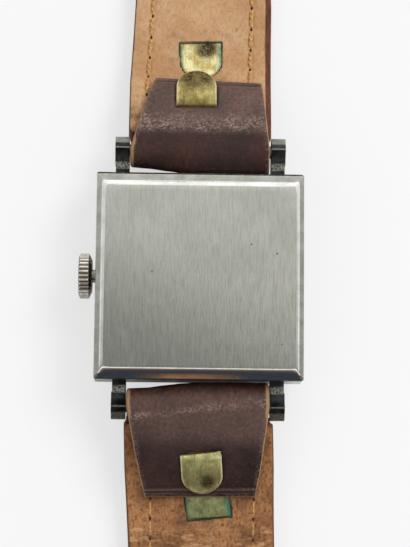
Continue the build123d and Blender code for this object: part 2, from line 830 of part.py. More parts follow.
def slot_cut(top_z):
    """Screwdriver slot."""
    reach = screw_head_radius + slip
    cut = block((-reach, -screw_slot_width / 2, top_z - screw_slot_depth),
                (reach, screw_slot_width / 2, top_z + overrun))
    return Rot(0, 0, screw_slot_angle) * cut


def make_crown_wheel():
    """Winding wheel: teeth on its edge for the ratchet, a lower ring of teeth for the winding pinion."""
    face = gear_face(crown_wheel_teeth, crown_wheel_radius, crown_wheel_phase)
    wheel = slab(face, winding_wheel_low_z, winding_wheel_top_z)
    module = 2 * crown_wheel_radius / crown_wheel_teeth
    ring_outer = crown_wheel_radius - dedendum_share * module
    ring = disc(ring_outer, winding_wheel_low_z - contrate_drop, winding_wheel_low_z)
    ring = ring - disc(ring_outer - contrate_width, winding_wheel_low_z - contrate_drop, winding_wheel_low_z)
    wheel = wheel + ring - disc(crown_wheel_hub_radius, winding_wheel_low_z, winding_wheel_top_z)
    return Pos(*crown_wheel_place, 0) * wheel


def arbor(low_z, high_z, place, upper_z=bridge_low_z):
    """Thin arbor with a pivot in the plate and one in the bridge."""
    low_shoulder = plate_top_z + slip
    high_shoulder = upper_z - slip
    body = turned([(0, low_z), (pivot_radius, low_z), (pivot_radius, low_shoulder),
                   (arbor_radius, low_shoulder), (arbor_radius, high_shoulder),
                   (pivot_radius, high_shoulder), (pivot_radius, high_z), (0, high_z)])
    return Pos(*place, 0) * body


def make_center_wheel():
    """Centre wheel, its pinion under the barrel teeth and the arbor that carries the cannon pinion."""
    wheel = spoked_wheel(center_teeth, center_pitch_radius, center_phase, center_wheel_z, wheel_thickness,
                         *center_place)
    leaves = pinion(center_pinion_teeth, center_pinion_radius, center_pinion_phase, center_wheel_z,
                    barrel_low_z + barrel_teeth_height, *center_place)
    top = disc(arbor_radius, barrel_low_z, bridge_top_z - slip)
    low = disc(arbor_radius, minute_hand_z, center_wheel_z)
    return wheel + leaves + top + low


def make_third_wheel():
    """Third wheel over its pinion, on one arbor."""
    wheel = spoked_wheel(third_teeth, third_pitch_radius, third_phase, third_wheel_z, wheel_thickness,
                         *third_place)
    leaves = pinion(third_pinion_teeth, third_pinion_radius, third_pinion_phase, center_wheel_z - slip,
                    third_wheel_z, *third_place)
    return wheel + leaves + arbor(plate_top_z - wheel_rim, bridge_top_z - slip, third_place)


def make_fourth_wheel():
    """Fourth wheel: its long lower pivot carries the small seconds hand."""
    wheel = spoked_wheel(fourth_teeth, fourth_pitch_radius, fourth_wheel_phase, fourth_wheel_z,
                         wheel_thickness, *fourth_place)
    leaves = pinion(fourth_pinion_teeth, fourth_pinion_radius, fourth_phase, third_wheel_z - slip,
                    fourth_wheel_z, *fourth_place)
    body = wheel + leaves + arbor(plate_top_z - wheel_rim, bridge_top_z - slip, fourth_place)
    return body + disc(pivot_radius, seconds_hand_z - hand_thickness / 2, plate_top_z, *fourth_place)


def make_escape_wheel():
    """Escape wheel with pointed teeth, and its pinion in the fourth wheel."""
    corners = []
    root = escape_radius - wheel_rim
    for tooth in range(escape_teeth):
        start = tooth * 360 / escape_teeth
        step = 360 / escape_teeth
        for radius, share in ((root, 0), (escape_radius, tooth_root_share), (root, escape_tooth_back_share)):
            angle = math.radians(start + share * step)
            corners.append((radius * math.cos(angle), radius * math.sin(angle)))
    ring = slab(outline(corners), escape_wheel_z, escape_wheel_z + wheel_thickness)
    hollow = disc(root - wheel_rim / 2, escape_wheel_z, escape_wheel_z + wheel_thickness)
    hub = disc(wheel_hub_radius, escape_wheel_z, escape_wheel_z + wheel_thickness)
    wheel = ring - hollow + hub
    reach = root - wheel_rim / 4
    for spoke in range(2):
        arm = block((-reach, -wheel_spoke_width / 2, escape_wheel_z),
                    (reach, wheel_spoke_width / 2, escape_wheel_z + wheel_thickness))
        wheel = wheel + Rot(0, 0, spoke * 90) * arm
    wheel = Pos(*escape_place, 0) * wheel
    leaves = pinion(escape_pinion_teeth, escape_pinion_radius, escape_phase, fourth_wheel_z - slip,
                    fourth_wheel_z + wheel_thickness + slip, *escape_place)
    return wheel + leaves + arbor(plate_top_z - wheel_rim, bridge_top_z - slip, escape_place)


def make_pallet_fork():
    """Lever: fork at the balance, two arms with stones at the escape wheel. Drawn along +X."""
    low_z = escape_wheel_z
    high_z = low_z + fork_thickness
    to_balance = math.dist(pallet_place, balance_place)
    fork_end = to_balance - arbor_radius - running_gap
    body = block((0, -fork_width / 2, low_z), (fork_end, fork_width / 2, high_z))
    body = body + disc(fork_hub_radius, low_z, high_z)
    slot_start = to_balance - roller_radius - impulse_pin_radius
    body = body - block((slot_start, -fork_slot / 2, low_z), (fork_end, fork_slot / 2, high_z))
    reach = escape_radius * math.cos(math.pi * pallet_stone_share / 2)
    lateral = escape_radius * math.sin(math.pi * pallet_stone_share / 2)
    stone_x = -(pallet_from_escape - reach) + running_gap
    for side in (1, -1):
        body = body + link(0, 0, fork_width / 2, stone_x, side * lateral, fork_width / 2, low_z, high_z)
    placed = Pos(*pallet_place, 0) * Rot(0, 0, escape_to_balance) * body
    pivots = disc(pivot_radius, plate_top_z - wheel_rim / 2, pallet_bridge_z + pallet_bridge_thickness / 2,
                  *pallet_place)
    return placed + pivots


def make_balance():
    """Balance: rim with two arms, staff, roller and impulse pin towards the fork."""
    low_z = balance_top_z - balance_rim_height
    rim = disc(balance_radius, low_z, balance_top_z)
    rim = rim - disc(balance_radius - balance_rim, low_z, balance_top_z)
    reach = balance_radius - balance_rim / 2
    arm = block((-reach, -balance_arm_width / 2, low_z),
                (reach, balance_arm_width / 2, low_z + balance_rim_height / 2))
    body = rim + arm + disc(wheel_hub_radius, low_z, low_z + balance_rim_height / 2)
    body = body + disc(roller_radius, roller_z, roller_z + roller_thickness)
    pin = polar(0, 0, roller_radius - impulse_pin_radius - seat_gap, escape_to_balance + 180)
    body = body + disc(impulse_pin_radius, roller_z - impulse_pin_reach, roller_z, *pin)
    body = Pos(*balance_place, 0) * body
    collet = disc(hairspring_start_radius - slip, balance_top_z + slip, cock_low_z - running_gap,
                  *balance_place)
    staff = arbor(plate_top_z - wheel_rim, cock_top_z - slip, balance_place, cock_low_z)
    return body + collet + staff


def make_hairspring():
    """Flat spiral between the collet on the staff and the stud under the cock."""
    low_z = balance_top_z + running_gap
    high_z = low_z + wheel_thickness
    coil = spiral(hairspring_start_radius - slip, hairspring_pitch, hairspring_turns, hairspring_strip,
                  low_z, high_z)
    return Pos(*balance_place, 0) * coil


def make_regulator():
    """Index lever that turns round the cap jewel on the cock."""
    low_z = cock_top_z + slip
    high_z = low_z + regulator_thickness
    ring = disc(regulator_outer, low_z, high_z)
    pointer = block((0, -fork_width / 2, low_z), (regulator_length, fork_width / 2, high_z))
    body = ring + pointer - disc(regulator_inner, low_z, high_z)
    bearing = bearing_of(balance_place, (cock_foot_x, cock_foot_y)) + regulator_angle
    return Pos(*balance_place, 0) * Rot(0, 0, bearing) * body


def make_click():
    """Click: a round body on its pin with a nose at the ratchet teeth."""
    low_z = bridge_top_z + slip
    high_z = low_z + click_thickness
    body = disc(click_radius, low_z, high_z, *click_place)
    distance = math.dist(click_place, barrel_place) - ratchet_tip_radius() - running_gap
    nose = polar(*click_place, distance - click_nose / 4, bearing_of(click_place, barrel_place))
    body = body + link(*click_place, click_nose / 2, *nose, click_nose / 4, low_z, high_z)
    return body - disc(click_pin_radius + slip, low_z, high_z, *click_place)


def ratchet_tip_radius():
    """Outer radius of the ratchet wheel."""
    return ratchet_radius + addendum_share * 2 * ratchet_radius / ratchet_teeth


def make_click_spring():
    """Straight leaf spring beside the click, held by a block at its far end."""
    low_z = bridge_top_z
    high_z = low_z + click_thickness
    start_x = click_x + click_radius + running_gap
    foot_y = click_y - click_spring_length
    leaf = block((start_x, foot_y, low_z), (start_x + click_spring_width, click_y, high_z))
    foot = disc(click_radius, low_z, high_z, start_x, foot_y)
    return leaf + foot


def screw_places():
    """Places of the screws of each bridge: on one circle, apart from the screw of the cock."""
    circle = bridge_radius - screw_edge
    return {
        "barrel": [polar(0, 0, circle, angle) for angle in barrel_screw_angles],
        "train": [polar(0, 0, circle, angle) for angle in train_screw_angles],
        "cock": [(cock_foot_x, cock_foot_y)],
    }


def screw(place, seat_z, low_z):
    """Slotted screw with a cheese head."""
    top_z = seat_z + screw_head_height
    body = disc(screw_head_radius, seat_z, top_z) + disc(screw_shank_radius, low_z, seat_z) - slot_cut(top_z)
    return Pos(*place, 0) * body


def make_bridge_screws():
    """Screws of the three bridges, through to the plate."""
    group = []
    low_z = plate_top_z - wheel_rim
    for name, places in screw_places().items():
        seat_z = cock_top_z if name == "cock" else bridge_top_z
        for place in places:
            group.append(screw(place, seat_z, low_z))
    return Compound(children=group)


def screw_holes():
    """Clearance holes for every screw shank."""
    holes = []
    for places in screw_places().values():
        for place in places:
            holes.append(disc(screw_shank_radius + seat_gap, plate_top_z - wheel_rim, cock_top_z, *place))
    return holes


def pivot_holes(low_z, high_z, places, radius=None):
    """Holes for pivots between two levels."""
    return [disc(radius or pivot_hole_radius, low_z, high_z, *place) for place in places]


def cut(body, cutters):
    """Body with every cutter taken away."""
    for cutter in cutters:
        body = body - cutter
    return body


train_places = [third_place, fourth_place, escape_place]


def sliding_pinion_end():
    """Inner end of the two pinions on the stem, at rest."""
    return winding_pinion_outer_x + winding_pinion_length + clutch_gap + sliding_pinion_length


def make_main_plate():
    """Plate: channel for stem and pinions, pivot holes, recesses for the dial work and the levers."""
    body = disc(plate_radius, dial_back_z, plate_top_z)
    body = body - disc(dial_work_radius, dial_back_z, dial_back_z + dial_work_depth)
    channel = winding_pinion_radius + running_gap * 2
    low = (winding_pinion_outer_x - running_gap, -channel, stem_z - channel)
    high_x = sliding_pinion_end() + crown_travel + running_gap * 2
    body = body - block(low, (high_x, channel, plate_top_z))
    body = body - rod(stem_radius + slip, -plate_radius - overrun, stem_inner_x + running_gap, z=stem_z)
    body = body - keyless_recess()
    pin_reach = setting_pin_radius + running_gap
    body = body - block((stem_groove_x - crown_travel - pin_reach, -pin_reach * 2, dial_back_z),
                        (stem_groove_x + pin_reach, pin_reach * 2, plate_top_z))
    deep = plate_top_z - wheel_rim - slip
    body = cut(body, pivot_holes(deep, plate_top_z, train_places))
    body = cut(body, pivot_holes(deep, plate_top_z, [pallet_place]))
    body = cut(body, pivot_holes(deep, plate_top_z, [balance_place]))
    body = cut(body, pivot_holes(dial_back_z, plate_top_z, [fourth_place]))
    body = cut(body, pivot_holes(dial_back_z, plate_top_z, [center_place], arbor_radius + slip))
    body = cut(body, pivot_holes(deep, plate_top_z, [barrel_place], barrel_arbor_radius / 2 + slip))
    return cut(body, screw_holes())


def keyless_recess():
    """Pocket in the dial side for the setting lever and the yoke."""
    low = (stem_groove_x - crown_travel - lever_arm_width / 2 - slip, setting_pivot_y - 2 * lever_hub_radius,
           dial_back_z)
    high_x = yoke_pivot_x + 2 * lever_hub_radius
    return block(low, (high_x, lever_hub_radius * 2, dial_back_z + keyless_recess_depth))


def bridge_blank(region):
    """Bridge of full thickness inside a region of the movement."""
    return disc(bridge_radius, bridge_low_z, bridge_top_z) & region


def pillar(place, top_z):
    """Foot that carries a bridge on the plate."""
    return disc(pillar_radius, plate_top_z, top_z, *place)


def make_barrel_bridge():
    """Bridge over barrel and centre wheel, with a recess for the lower ring of the crown wheel."""
    reach = case_width
    region = block((-reach, bridge_split_y, bridge_low_z), (reach, reach, bridge_top_z))
    body = bridge_blank(region)
    for place in screw_places()["barrel"]:
        body = body + pillar(place, bridge_low_z)
    ring = crown_wheel_radius + slip
    recess_low = winding_wheel_low_z - contrate_drop - slip
    recess = disc(ring, recess_low, bridge_top_z, *crown_wheel_place)
    recess = recess - disc(ring - contrate_width * 2, recess_low, bridge_top_z, *crown_wheel_place)
    body = body - recess
    hub = disc(crown_wheel_hub_radius - slip, bridge_top_z, winding_wheel_top_z + slip, *crown_wheel_place)
    cap = disc(crown_wheel_hub_radius + wheel_rim, winding_wheel_top_z + slip,
               winding_wheel_top_z + screw_slot_depth + slip, *crown_wheel_place)
    body = body + hub + cap
    start_x = winding_pinion_outer_x - running_gap
    middle_x = winding_pinion_outer_x + winding_pinion_length + running_gap
    end_x = sliding_pinion_end() + crown_travel + running_gap * 2
    for low_x, high_x, radius in ((start_x, middle_x, winding_pinion_radius),
                                  (middle_x, end_x, sliding_pinion_radius)):
        room = radius + running_gap * 2
        body = body - block((low_x, -room, bridge_low_z - overrun), (high_x, room, stem_z + room))
    body = body - disc(barrel_arbor_radius / 2 + slip, bridge_low_z, bridge_top_z, *barrel_place)
    body = body - disc(arbor_radius + slip, bridge_low_z, bridge_top_z, *center_place)
    pin = disc(click_pin_radius, bridge_top_z, bridge_top_z + click_thickness + slip, *click_place)
    return cut(body, screw_holes()) + pin


def make_train_bridge():
    """Bridge over third, fourth and escape wheels, cut away round the balance."""
    reach = case_width
    split = bridge_split_y - bridge_split_gap
    region = block((train_bridge_low_x, -reach, bridge_low_z), (reach, split, bridge_top_z))
    body = bridge_blank(region)
    body = body - disc(balance_radius + soft_gap, bridge_low_z, bridge_top_z, *balance_place)
    for place in screw_places()["train"]:
        body = body + pillar(place, bridge_low_z)
    body = cut(body, pivot_holes(bridge_low_z, bridge_top_z, train_places, jewel_radius))
    return cut(body, screw_holes())


def make_balance_cock():
    """Cock: foot beside the balance and an arm over it."""
    foot = disc(cock_foot_radius, plate_top_z, cock_low_z, cock_foot_x, cock_foot_y)
    arm = link(*balance_place, cock_head_radius, cock_foot_x, cock_foot_y, cock_foot_radius, cock_low_z,
               cock_top_z)
    body = foot + arm - disc(pivot_hole_radius, cock_low_z, cock_top_z, *balance_place)
    cap = disc(regulator_inner - slip, cock_top_z, cock_top_z + regulator_thickness + slip, *balance_place)
    return cut(body, screw_holes()) + cap + hairspring_stud()


def hairspring_stud():
    """Post under the cock that pins the outer end of the hairspring."""
    coil_radius = hairspring_start_radius + hairspring_turns * hairspring_pitch
    place = polar(*balance_place, coil_radius + stud_radius + running_gap * 2,
                  bearing_of(balance_place, (cock_foot_x, cock_foot_y)))
    return disc(stud_radius, balance_top_z + running_gap, cock_low_z, *place)


def make_pallet_bridge():
    """Small bridge over the lever, on two feet beside it."""
    across = escape_to_balance - 90
    near = polar(*pallet_place, pallet_foot_near, across)
    far = polar(*pallet_place, -pallet_foot_far, across)
    low_z = pallet_bridge_z
    high_z = low_z + pallet_bridge_thickness
    body = link(*near, pallet_foot_radius, *far, pallet_foot_radius + slip, low_z, high_z)
    for place in (near, far):
        body = body + disc(pallet_foot_radius, plate_top_z, low_z, *place)
    return body - disc(pivot_hole_radius, low_z, high_z, *pallet_place)


def make_jewels():
    """Bearing jewels of the train bridge, one ring for each pivot."""
    rings = []
    for place in train_places:
        ring = disc(jewel_radius - seat_gap, bridge_top_z - jewel_height, bridge_top_z, *place)
        rings.append(ring - disc(pivot_hole_radius, bridge_top_z - jewel_height, bridge_top_z, *place))
    return Compound(children=rings)


def make_setting_lever():
    """Lever whose pin stands in the groove of the stem."""
    low_z = dial_back_z + lever_gap
    high_z = low_z + lever_thickness
    body = link(setting_pivot_x, setting_pivot_y, lever_hub_radius, stem_groove_x, 0, lever_arm_width / 2,
                low_z, high_z)
    body = body - disc(lever_post_radius + slip, low_z, high_z, setting_pivot_x, setting_pivot_y)
    pin_top = stem_z - stem_groove_radius - slip
    return body + disc(setting_pin_radius, high_z, pin_top, stem_groove_x, 0)


def make_yoke():
    """Lever whose finger stands in the groove of the sliding pinion."""
    low_z = dial_back_z + lever_gap
    high_z = low_z + lever_thickness
    finger_x = winding_pinion_outer_x + winding_pinion_length + clutch_gap + sliding_pinion_length / 2
    body = link(yoke_pivot_x, yoke_pivot_y, lever_hub_radius, finger_x, 0, lever_arm_width / 2, low_z, high_z)
    body = body - disc(lever_post_radius + slip, low_z, high_z, yoke_pivot_x, yoke_pivot_y)
    top_z = stem_z - sliding_groove_radius - slip
    return body + disc(setting_pin_radius, high_z, top_z, finger_x, 0)


def make_dial_side_posts():
    """Posts on which the two levers and the minute wheel turn."""
    top_z = dial_back_z + keyless_recess_depth
    group = [disc(arbor_radius - slip, dial_back_z + slip, dial_back_z + dial_work_depth, *motion_place)]
    for place in ((setting_pivot_x, setting_pivot_y), (yoke_pivot_x, yoke_pivot_y)):
        group.append(disc(lever_post_radius, dial_back_z, top_z, *place))
    return Compound(children=group)


# Dial work: it lies between the plate and the dial
motion_low_z = dial_back_z + slip
motion_mid_z = motion_low_z + 2 * wheel_thickness
motion_top_z = dial_back_z + dial_work_depth - slip
cannon_radius = motion_distance * cannon_teeth / (cannon_teeth + minute_wheel_teeth)
minute_wheel_radius = motion_distance - cannon_radius
hour_wheel_radius = motion_distance * hour_wheel_teeth / (hour_wheel_teeth + minute_pinion_teeth)
minute_pinion_radius = motion_distance - hour_wheel_radius


def make_cannon_pinion():
    """Tube with ten leaves, gripping the centre arbor."""
    leaves = pinion(cannon_teeth, cannon_radius, cannon_phase, motion_mid_z, motion_top_z, *center_place)
    body = leaves + disc(cannon_pipe_radius, minute_hand_z - slip, motion_mid_z)
    return body - disc(arbor_radius + slip, minute_hand_z - slip, motion_top_z)


def make_minute_wheel():
    """Minute wheel with the pinion that drives the hour wheel."""
    wheel = spoked_wheel(minute_wheel_teeth, minute_wheel_radius, minute_wheel_phase,
                         motion_top_z - wheel_thickness, wheel_thickness, *motion_place)
    leaves = pinion(minute_pinion_teeth, minute_pinion_radius, minute_pinion_phase, motion_low_z,
                    motion_top_z - wheel_thickness, *motion_place)
    return wheel + leaves - disc(arbor_radius, motion_low_z, motion_top_z, *motion_place)


def make_hour_wheel():
    """Hour wheel, whose pipe turns on the cannon pinion."""
    wheel = pinion(hour_wheel_teeth, hour_wheel_radius, hour_wheel_phase, motion_low_z, motion_mid_z - slip,
                   *center_place)
    pipe = disc(hour_pipe_radius, hour_hand_z - slip, motion_low_z)
    bore = disc(cannon_pipe_radius + slip, hour_hand_z - slip, motion_mid_z)
    return wheel + pipe - bore


def make_dial():
    """Square dial with a sunk seconds ring."""
    body = square_block(dial_width, dial_width, band_front_z, dial_back_z)
    body = body - disc(hour_pipe_radius + running_gap, band_front_z, dial_back_z)
    body = body - disc(pivot_radius + running_gap, band_front_z, dial_back_z, *fourth_place)
    return body - disc(seconds_dial_radius, band_front_z, band_front_z + seconds_dial_depth, *fourth_place)


def make_dial_markers():
    """Twelve plain bars that follow the square of the dial."""
    group = []
    edge = window_width / 2 - marker_inset
    for hour in range(12):
        angle = math.radians(hour * 30)
        stretch = max(abs(math.cos(angle)), abs(math.sin(angle)))
        outer = min(edge / stretch, edge * math.sqrt(2) * marker_corner_share)
        bar = block((outer - marker_length, -marker_width / 2, band_front_z - marker_height),
                    (outer, marker_width / 2, band_front_z))
        group.append(Rot(0, 0, hour * 30) * bar)
    return Compound(children=group)


def hand(length, tail, width, low_z, bore, hub, angle):
    """Pointed flat hand with a round boss."""
    points = [(0, width / 2), (length, width / 8), (length, -width / 8), (0, -width / 2), (-tail, -width / 4),
              (-tail, width / 4)]
    body = slab(outline(points), low_z, low_z + hand_thickness) + disc(hub, low_z, low_z + hand_thickness)
    return Rot(0, 0, angle) * (body - disc(bore, low_z, low_z + hand_thickness))


def make_hour_hand():
    """Hour hand on the pipe of the hour wheel."""
    return hand(hour_hand_length, hand_tail, hand_width, hour_hand_z, hour_pipe_radius,
                hour_pipe_radius + wheel_rim, hour_hand_angle)


def make_minute_hand():
    """Minute hand on the cannon pinion."""
    return hand(minute_hand_length, hand_tail, hand_width, minute_hand_z, cannon_pipe_radius,
                cannon_pipe_radius + wheel_rim, minute_hand_angle)


def make_seconds_hand():
    """Small seconds hand on the long pivot of the fourth wheel."""
    body = hand(seconds_hand_length, hand_tail / 2, hand_width / 3, seconds_hand_z, pivot_radius,
                arbor_radius * 2, seconds_hand_angle)
    return Pos(*fourth_place, 0) * body


# Strap: a route of straight runs and arcs in the plane of Y and Z, from the lug bar outwards
def half_slope_arc(run, drop):
    """Radius and turn of the two equal arcs that lower a level strap."""
    turn = 2 * math.atan2(drop, run)
    return run / (2 * math.sin(turn)), turn


strap_drop = lug_bar_z - wrap_radius - table_z
slope_radius, slope_turn = half_slope_arc(strap_slope_run, strap_drop)
slope_arc_run = slope_radius * slope_turn
route_12 = [(slope_arc_run, -slope_radius), (slope_arc_run, slope_radius), (strap_flat_run, 0),
            (strap_12_curl_run, strap_12_curl_radius), (strap_12_end_run, 0)]
route_6 = [(slope_arc_run, -slope_radius), (slope_arc_run, slope_radius), (strap_flat_run, 0),
           (strap_6_curl_run, strap_6_curl_radius), (strap_6_end_run, 0)]
length_12 = sum(step[0] for step in route_12)
length_6 = sum(step[0] for step in route_6)


def travel(route, run):
    """Place and heading on the route after a run."""
    y, z, heading = 0, 0, 0
    for length, radius in route:
        step = min(run, length)
        if radius == 0:
            y += step * math.cos(heading)
            z += step * math.sin(heading)
        else:
            turn = step / radius
            y += radius * (math.sin(heading + turn) - math.sin(heading))
            z -= radius * (math.cos(heading + turn) - math.cos(heading))
            heading += turn
        run -= step
        if run <= 0:
            break
    return y, z, heading


def at(route, run, level):
    """Point beside the route, at a level above its middle line."""
    y, z, heading = travel(route, run)
    return (0, y - level * math.sin(heading), z + level * math.cos(heading))


def route_edges(route, start, end, level):
    """Lines and arcs at one level between two runs."""
    edges = []
    done = 0
    for length, radius in route:
        low = max(start, done)
        high = min(end, done + length)
        if high > low:
            first, last = at(route, low, level), at(route, high, level)
            if radius == 0:
                edges.append(Line(first, last))
            else:
                edges.append(ThreePointArc(first, at(route, (low + high) / 2, level), last))
        done += length
    return edges


def strap_layer(route, start, end, low, high, half):
    """Layer of the strap between two runs and two levels."""
    edges = route_edges(route, start, end, low) + route_edges(route, start, end, high)
    edges.append(Line(at(route, start, low), at(route, start, high)))
    edges.append(Line(at(route, end, low), at(route, end, high)))
    face = make_face(edges)
    return extrude(face, amount=half, dir=(1, 0, 0)) + extrude(face, amount=half, dir=(-1, 0, 0))


def plan_prism(points, reach):
    """Upright prism over a plan outline, high enough for the whole strap."""
    return slab(outline(points), -reach, reach)


def wrap(half, side):
    """Half ring of leather round a bar at the start or end of the route."""
    ring = rod(wrap_radius, -half, half) - rod(wrap_inner_radius, -half, half)
    low_y, high_y = (-wrap_radius, 0) if side < 0 else (0, wrap_radius)
    return ring & block((-half, low_y, -wrap_radius), (half, high_y, wrap_radius))


def route_place(route, run):
    """Location on the route, with Y along the strap and Z away from its lining."""
    y, z, heading = travel(route, run)
    return Pos(0, y, z) * Rot(math.degrees(heading), 0, 0)


def body_plan(route, end_half, tip, lean):
    """Plan of a strap half: narrow between the lugs, full beyond them, then a taper."""
    end_y = travel(route, sum(step[0] for step in route))[0]
    taper_y = travel(route, strap_taper_run)[0]
    shoulder = lean * strap_shoulder_run / strap_taper_run
    start_y = -wrap_radius - overrun
    right = [(strap_root_half, start_y), (strap_root_half, strap_shoulder_run),
             (strap_half + shoulder, strap_shoulder_end_run),
             (strap_half + lean, taper_y)]
    left = [(-strap_root_half, start_y), (-strap_root_half, strap_shoulder_run),
            (-strap_half + shoulder, strap_shoulder_end_run),
            (-strap_half + lean, taper_y)]
    if tip:
        right += [(end_half + lean, end_y - tip), (strap_6_tip_half + lean, end_y)]
        left += [(-end_half + lean, end_y - tip), (-strap_6_tip_half + lean, end_y)]
    else:
        right += [(end_half + lean, end_y + wrap_radius + overrun)]
        left += [(-end_half + lean, end_y + wrap_radius + overrun)]
    return right + left[::-1]


def flap_plan(left_inset, left_run, right_inset, right_run):
    """Plan of the flap, a skewed trapezium from the bar to its free end."""
    start_y = -wrap_radius - overrun
    right = (strap_half - right_inset, right_run)
    left = (-strap_half + left_inset, left_run)
    return [(strap_root_half, start_y), (strap_root_half, 0), right, left, (-strap_root_half, 0),
            (-strap_root_half, start_y)]


def clip_tongue(start_run, end_run, half):
    """Plan of a clip leg: square at its slit and round at its free end."""
    way = 1 if end_run > start_run else -1
    round_y = end_run - way * half
    low_y, high_y = min(start_run, round_y), max(start_run, round_y)
    face = Pos(0, (low_y + high_y) / 2) * Rectangle(2 * half, high_y - low_y) + Pos(0, round_y) * Circle(half)
    return slab(face, -strap_slope_run, strap_slope_run)


def clip_pieces(route, slit_run, grow=0):
    """Clip: base inside the strap, a leg on the flap and a leg let into the lining."""
    half = clip_width / 2 + grow
    thick = clip_thickness
    base = strap_layer(route, clip_leg_run - thick - grow, slit_run + thick + grow, clip_base_low - grow,
                       lining_low + grow, half)
    riser_a = strap_layer(route, clip_leg_run - thick - grow, clip_leg_run + grow, lining_low,
                          flap_top + thick + grow, half)
    riser_b = strap_layer(route, slit_run - grow, slit_run + thick + grow, lining_low, lining_top + grow,
                          half)
    leg_a = strap_layer(route, clip_leg_run - thick, clip_leg_end_run, flap_top, flap_top + thick, half)
    leg_a = leg_a & clip_tongue(clip_leg_run - thick, clip_leg_end_run, half)
    leg_b_end = slit_run - clip_leg_length
    leg_b = strap_layer(route, leg_b_end - grow, slit_run + thick, lining_top - thick - grow,
                        lining_top + grow, half)
    leg_b = leg_b & clip_tongue(slit_run + thick + grow, leg_b_end - grow, half)
    return base + riser_a + riser_b + leg_a + leg_b


def place_12(shape):
    """Move a strap piece from its own frame to the bar at twelve o'clock."""
    return Pos(0, lug_bar_y, lug_bar_z) * shape


def place_6(shape):
    """The same at six o'clock, turned end for end."""
    return Pos(0, -lug_bar_y, lug_bar_z) * mirror(shape, about=Plane.XZ)


def outer_leather(route, plan, flap):
    """Outer leather: under the strap, round the lug bar and back as the flap."""
    length = sum(step[0] for step in route)
    half = strap_half * 2
    under = strap_layer(route, 0, length, outer_low, padding_low, half) & plan
    over = strap_layer(route, 0, strap_slope_run, lining_top, flap_top, half) & plan_prism(flap, case_width)
    return under + over + wrap(strap_root_half, -1)


def make_strap_12():
    """Pieces of the half with the buckle."""
    route = route_12
    plan = plan_prism(body_plan(route, strap_12_end_half, 0, 0), length_12)
    flap = flap_plan(flap_12_left_inset, flap_12_left_run, flap_12_right_inset, flap_12_right_run)
    outer = outer_leather(route, plan, flap)
    end = route_place(route, length_12)
    back = strap_layer(route, length_12 - return_run, length_12, lining_top, flap_top, strap_12_end_half)
    outer = outer + end * wrap(strap_12_end_half, 1) + back
    clip_room = clip_pieces(route, clip_12_slit_run, seat_gap)
    slot = end * block((-tang_slot_half, -tang_slot_run, -length_12), (tang_slot_half, length_12, length_12))
    core_end = length_12 - padding_start_run
    filler = strap_layer(route, padding_start_run, core_end, padding_low, lining_low, strap_half * 2) & plan
    inside = strap_layer(route, lining_start_run, core_end, lining_low, lining_top, strap_half * 2) & plan
    pieces = {
        "strap_12_outer": outer - clip_room - slot,
        "strap_12_padding": filler - clip_room - slot,
        "strap_12_lining": inside - clip_room - slot,
        "strap_12_clip": clip_pieces(route, clip_12_slit_run),
    }
    return {name: place_12(piece) for name, piece in pieces.items()}


def make_strap_6():
    """Pieces of the half with the holes."""
    route = route_6
    plan = plan_prism(body_plan(route, strap_6_end_half, strap_6_tip_length, strap_6_lean), length_6)
    flap = flap_plan(flap_6_left_inset, flap_6_run, flap_6_right_inset, flap_6_run)
    outer = outer_leather(route, plan, flap)
    clip_room = clip_pieces(route, clip_6_slit_run, seat_gap)
    filler = strap_layer(route, padding_start_run, length_6, padding_low, lining_low, strap_half * 2) & plan
    inside = strap_layer(route, lining_start_run, length_6, lining_low, lining_top, strap_half * 2) & plan
    holes = []
    for hole in range(hole_count):
        run = length_6 - hole_end_run - hole * hole_step
        punch = disc(hole_radius, -strap_slope_run, strap_slope_run, strap_6_lean)
        holes.append(route_place(route, run) * punch)
    pieces = {
        "strap_6_outer": cut(outer - clip_room, holes),
        "strap_6_padding": cut(filler - clip_room, holes),
        "strap_6_lining": cut(inside - clip_room, holes),
        "strap_6_clip": clip_pieces(route, clip_6_slit_run),
    }
    return {name: place_6(piece) for name, piece in pieces.items()}


def half_at(run):
    """Half width of the buckle half at a run in its taper."""
    share = max(0, run - strap_taper_run) / (length_12 - strap_taper_run)
    return strap_half + (strap_12_end_half - strap_half) * share


def keeper(run, narrow_run, gap):
    """Leather loop round the strap, as wide as the strap needs at its widest place."""
    half = half_at(narrow_run) + gap
    low = outer_low - gap
    high = flap_top + keeper_headroom
    reach = keeper_length / 2
    wall = keeper_wall
    loop = block((-half - wall, -reach, low - wall), (half + wall, reach, high + wall))
    loop = loop - block((-half, -reach, low), (half, reach, high))
    return place_12(route_place(route_12, run) * loop)


def make_fixed_keeper():
    """Keeper sewn to the strap beside the buckle."""
    run = length_12 - fixed_keeper_back
    return keeper(run, run - keeper_length / 2, slip)


def make_free_keeper():
    """Keeper that slides along the strap."""
    run = length_12 - free_keeper_back
    return keeper(run, run - keeper_travel - keeper_length / 2, soft_gap)


def make_buckle_frame():
    """Open frame: two arms that hold the bar and a cross bar that carries the tang."""
    inner = strap_12_end_half + buckle_arm_gap
    outer = inner + buckle_arm_width
    high = buckle_thickness / 2
    body = block((-outer, -buckle_tail, -high), (outer, buckle_reach, high))
    body = body - block((-inner, -buckle_tail, -high), (inner, buckle_reach - buckle_far_bar, high))
    corners = body.edges().filter_by(Axis.Z)
    body = fillet(corners, buckle_tail / 2)
    body = body - rod(buckle_bar_end_radius, -outer, outer)
    return place_12(route_place(route_12, length_12) * body)


def make_buckle_bar():
    """Bar through the leather, with thin ends riveted in the arms."""
    inner = strap_12_end_half + buckle_arm_gap - slip
    reach = strap_12_end_half + buckle_arm_gap + buckle_arm_width
    body = rod(buckle_bar_radius, -inner, inner) + rod(buckle_bar_end_radius, -reach, reach)
    return place_12(route_place(route_12, length_12) * body)


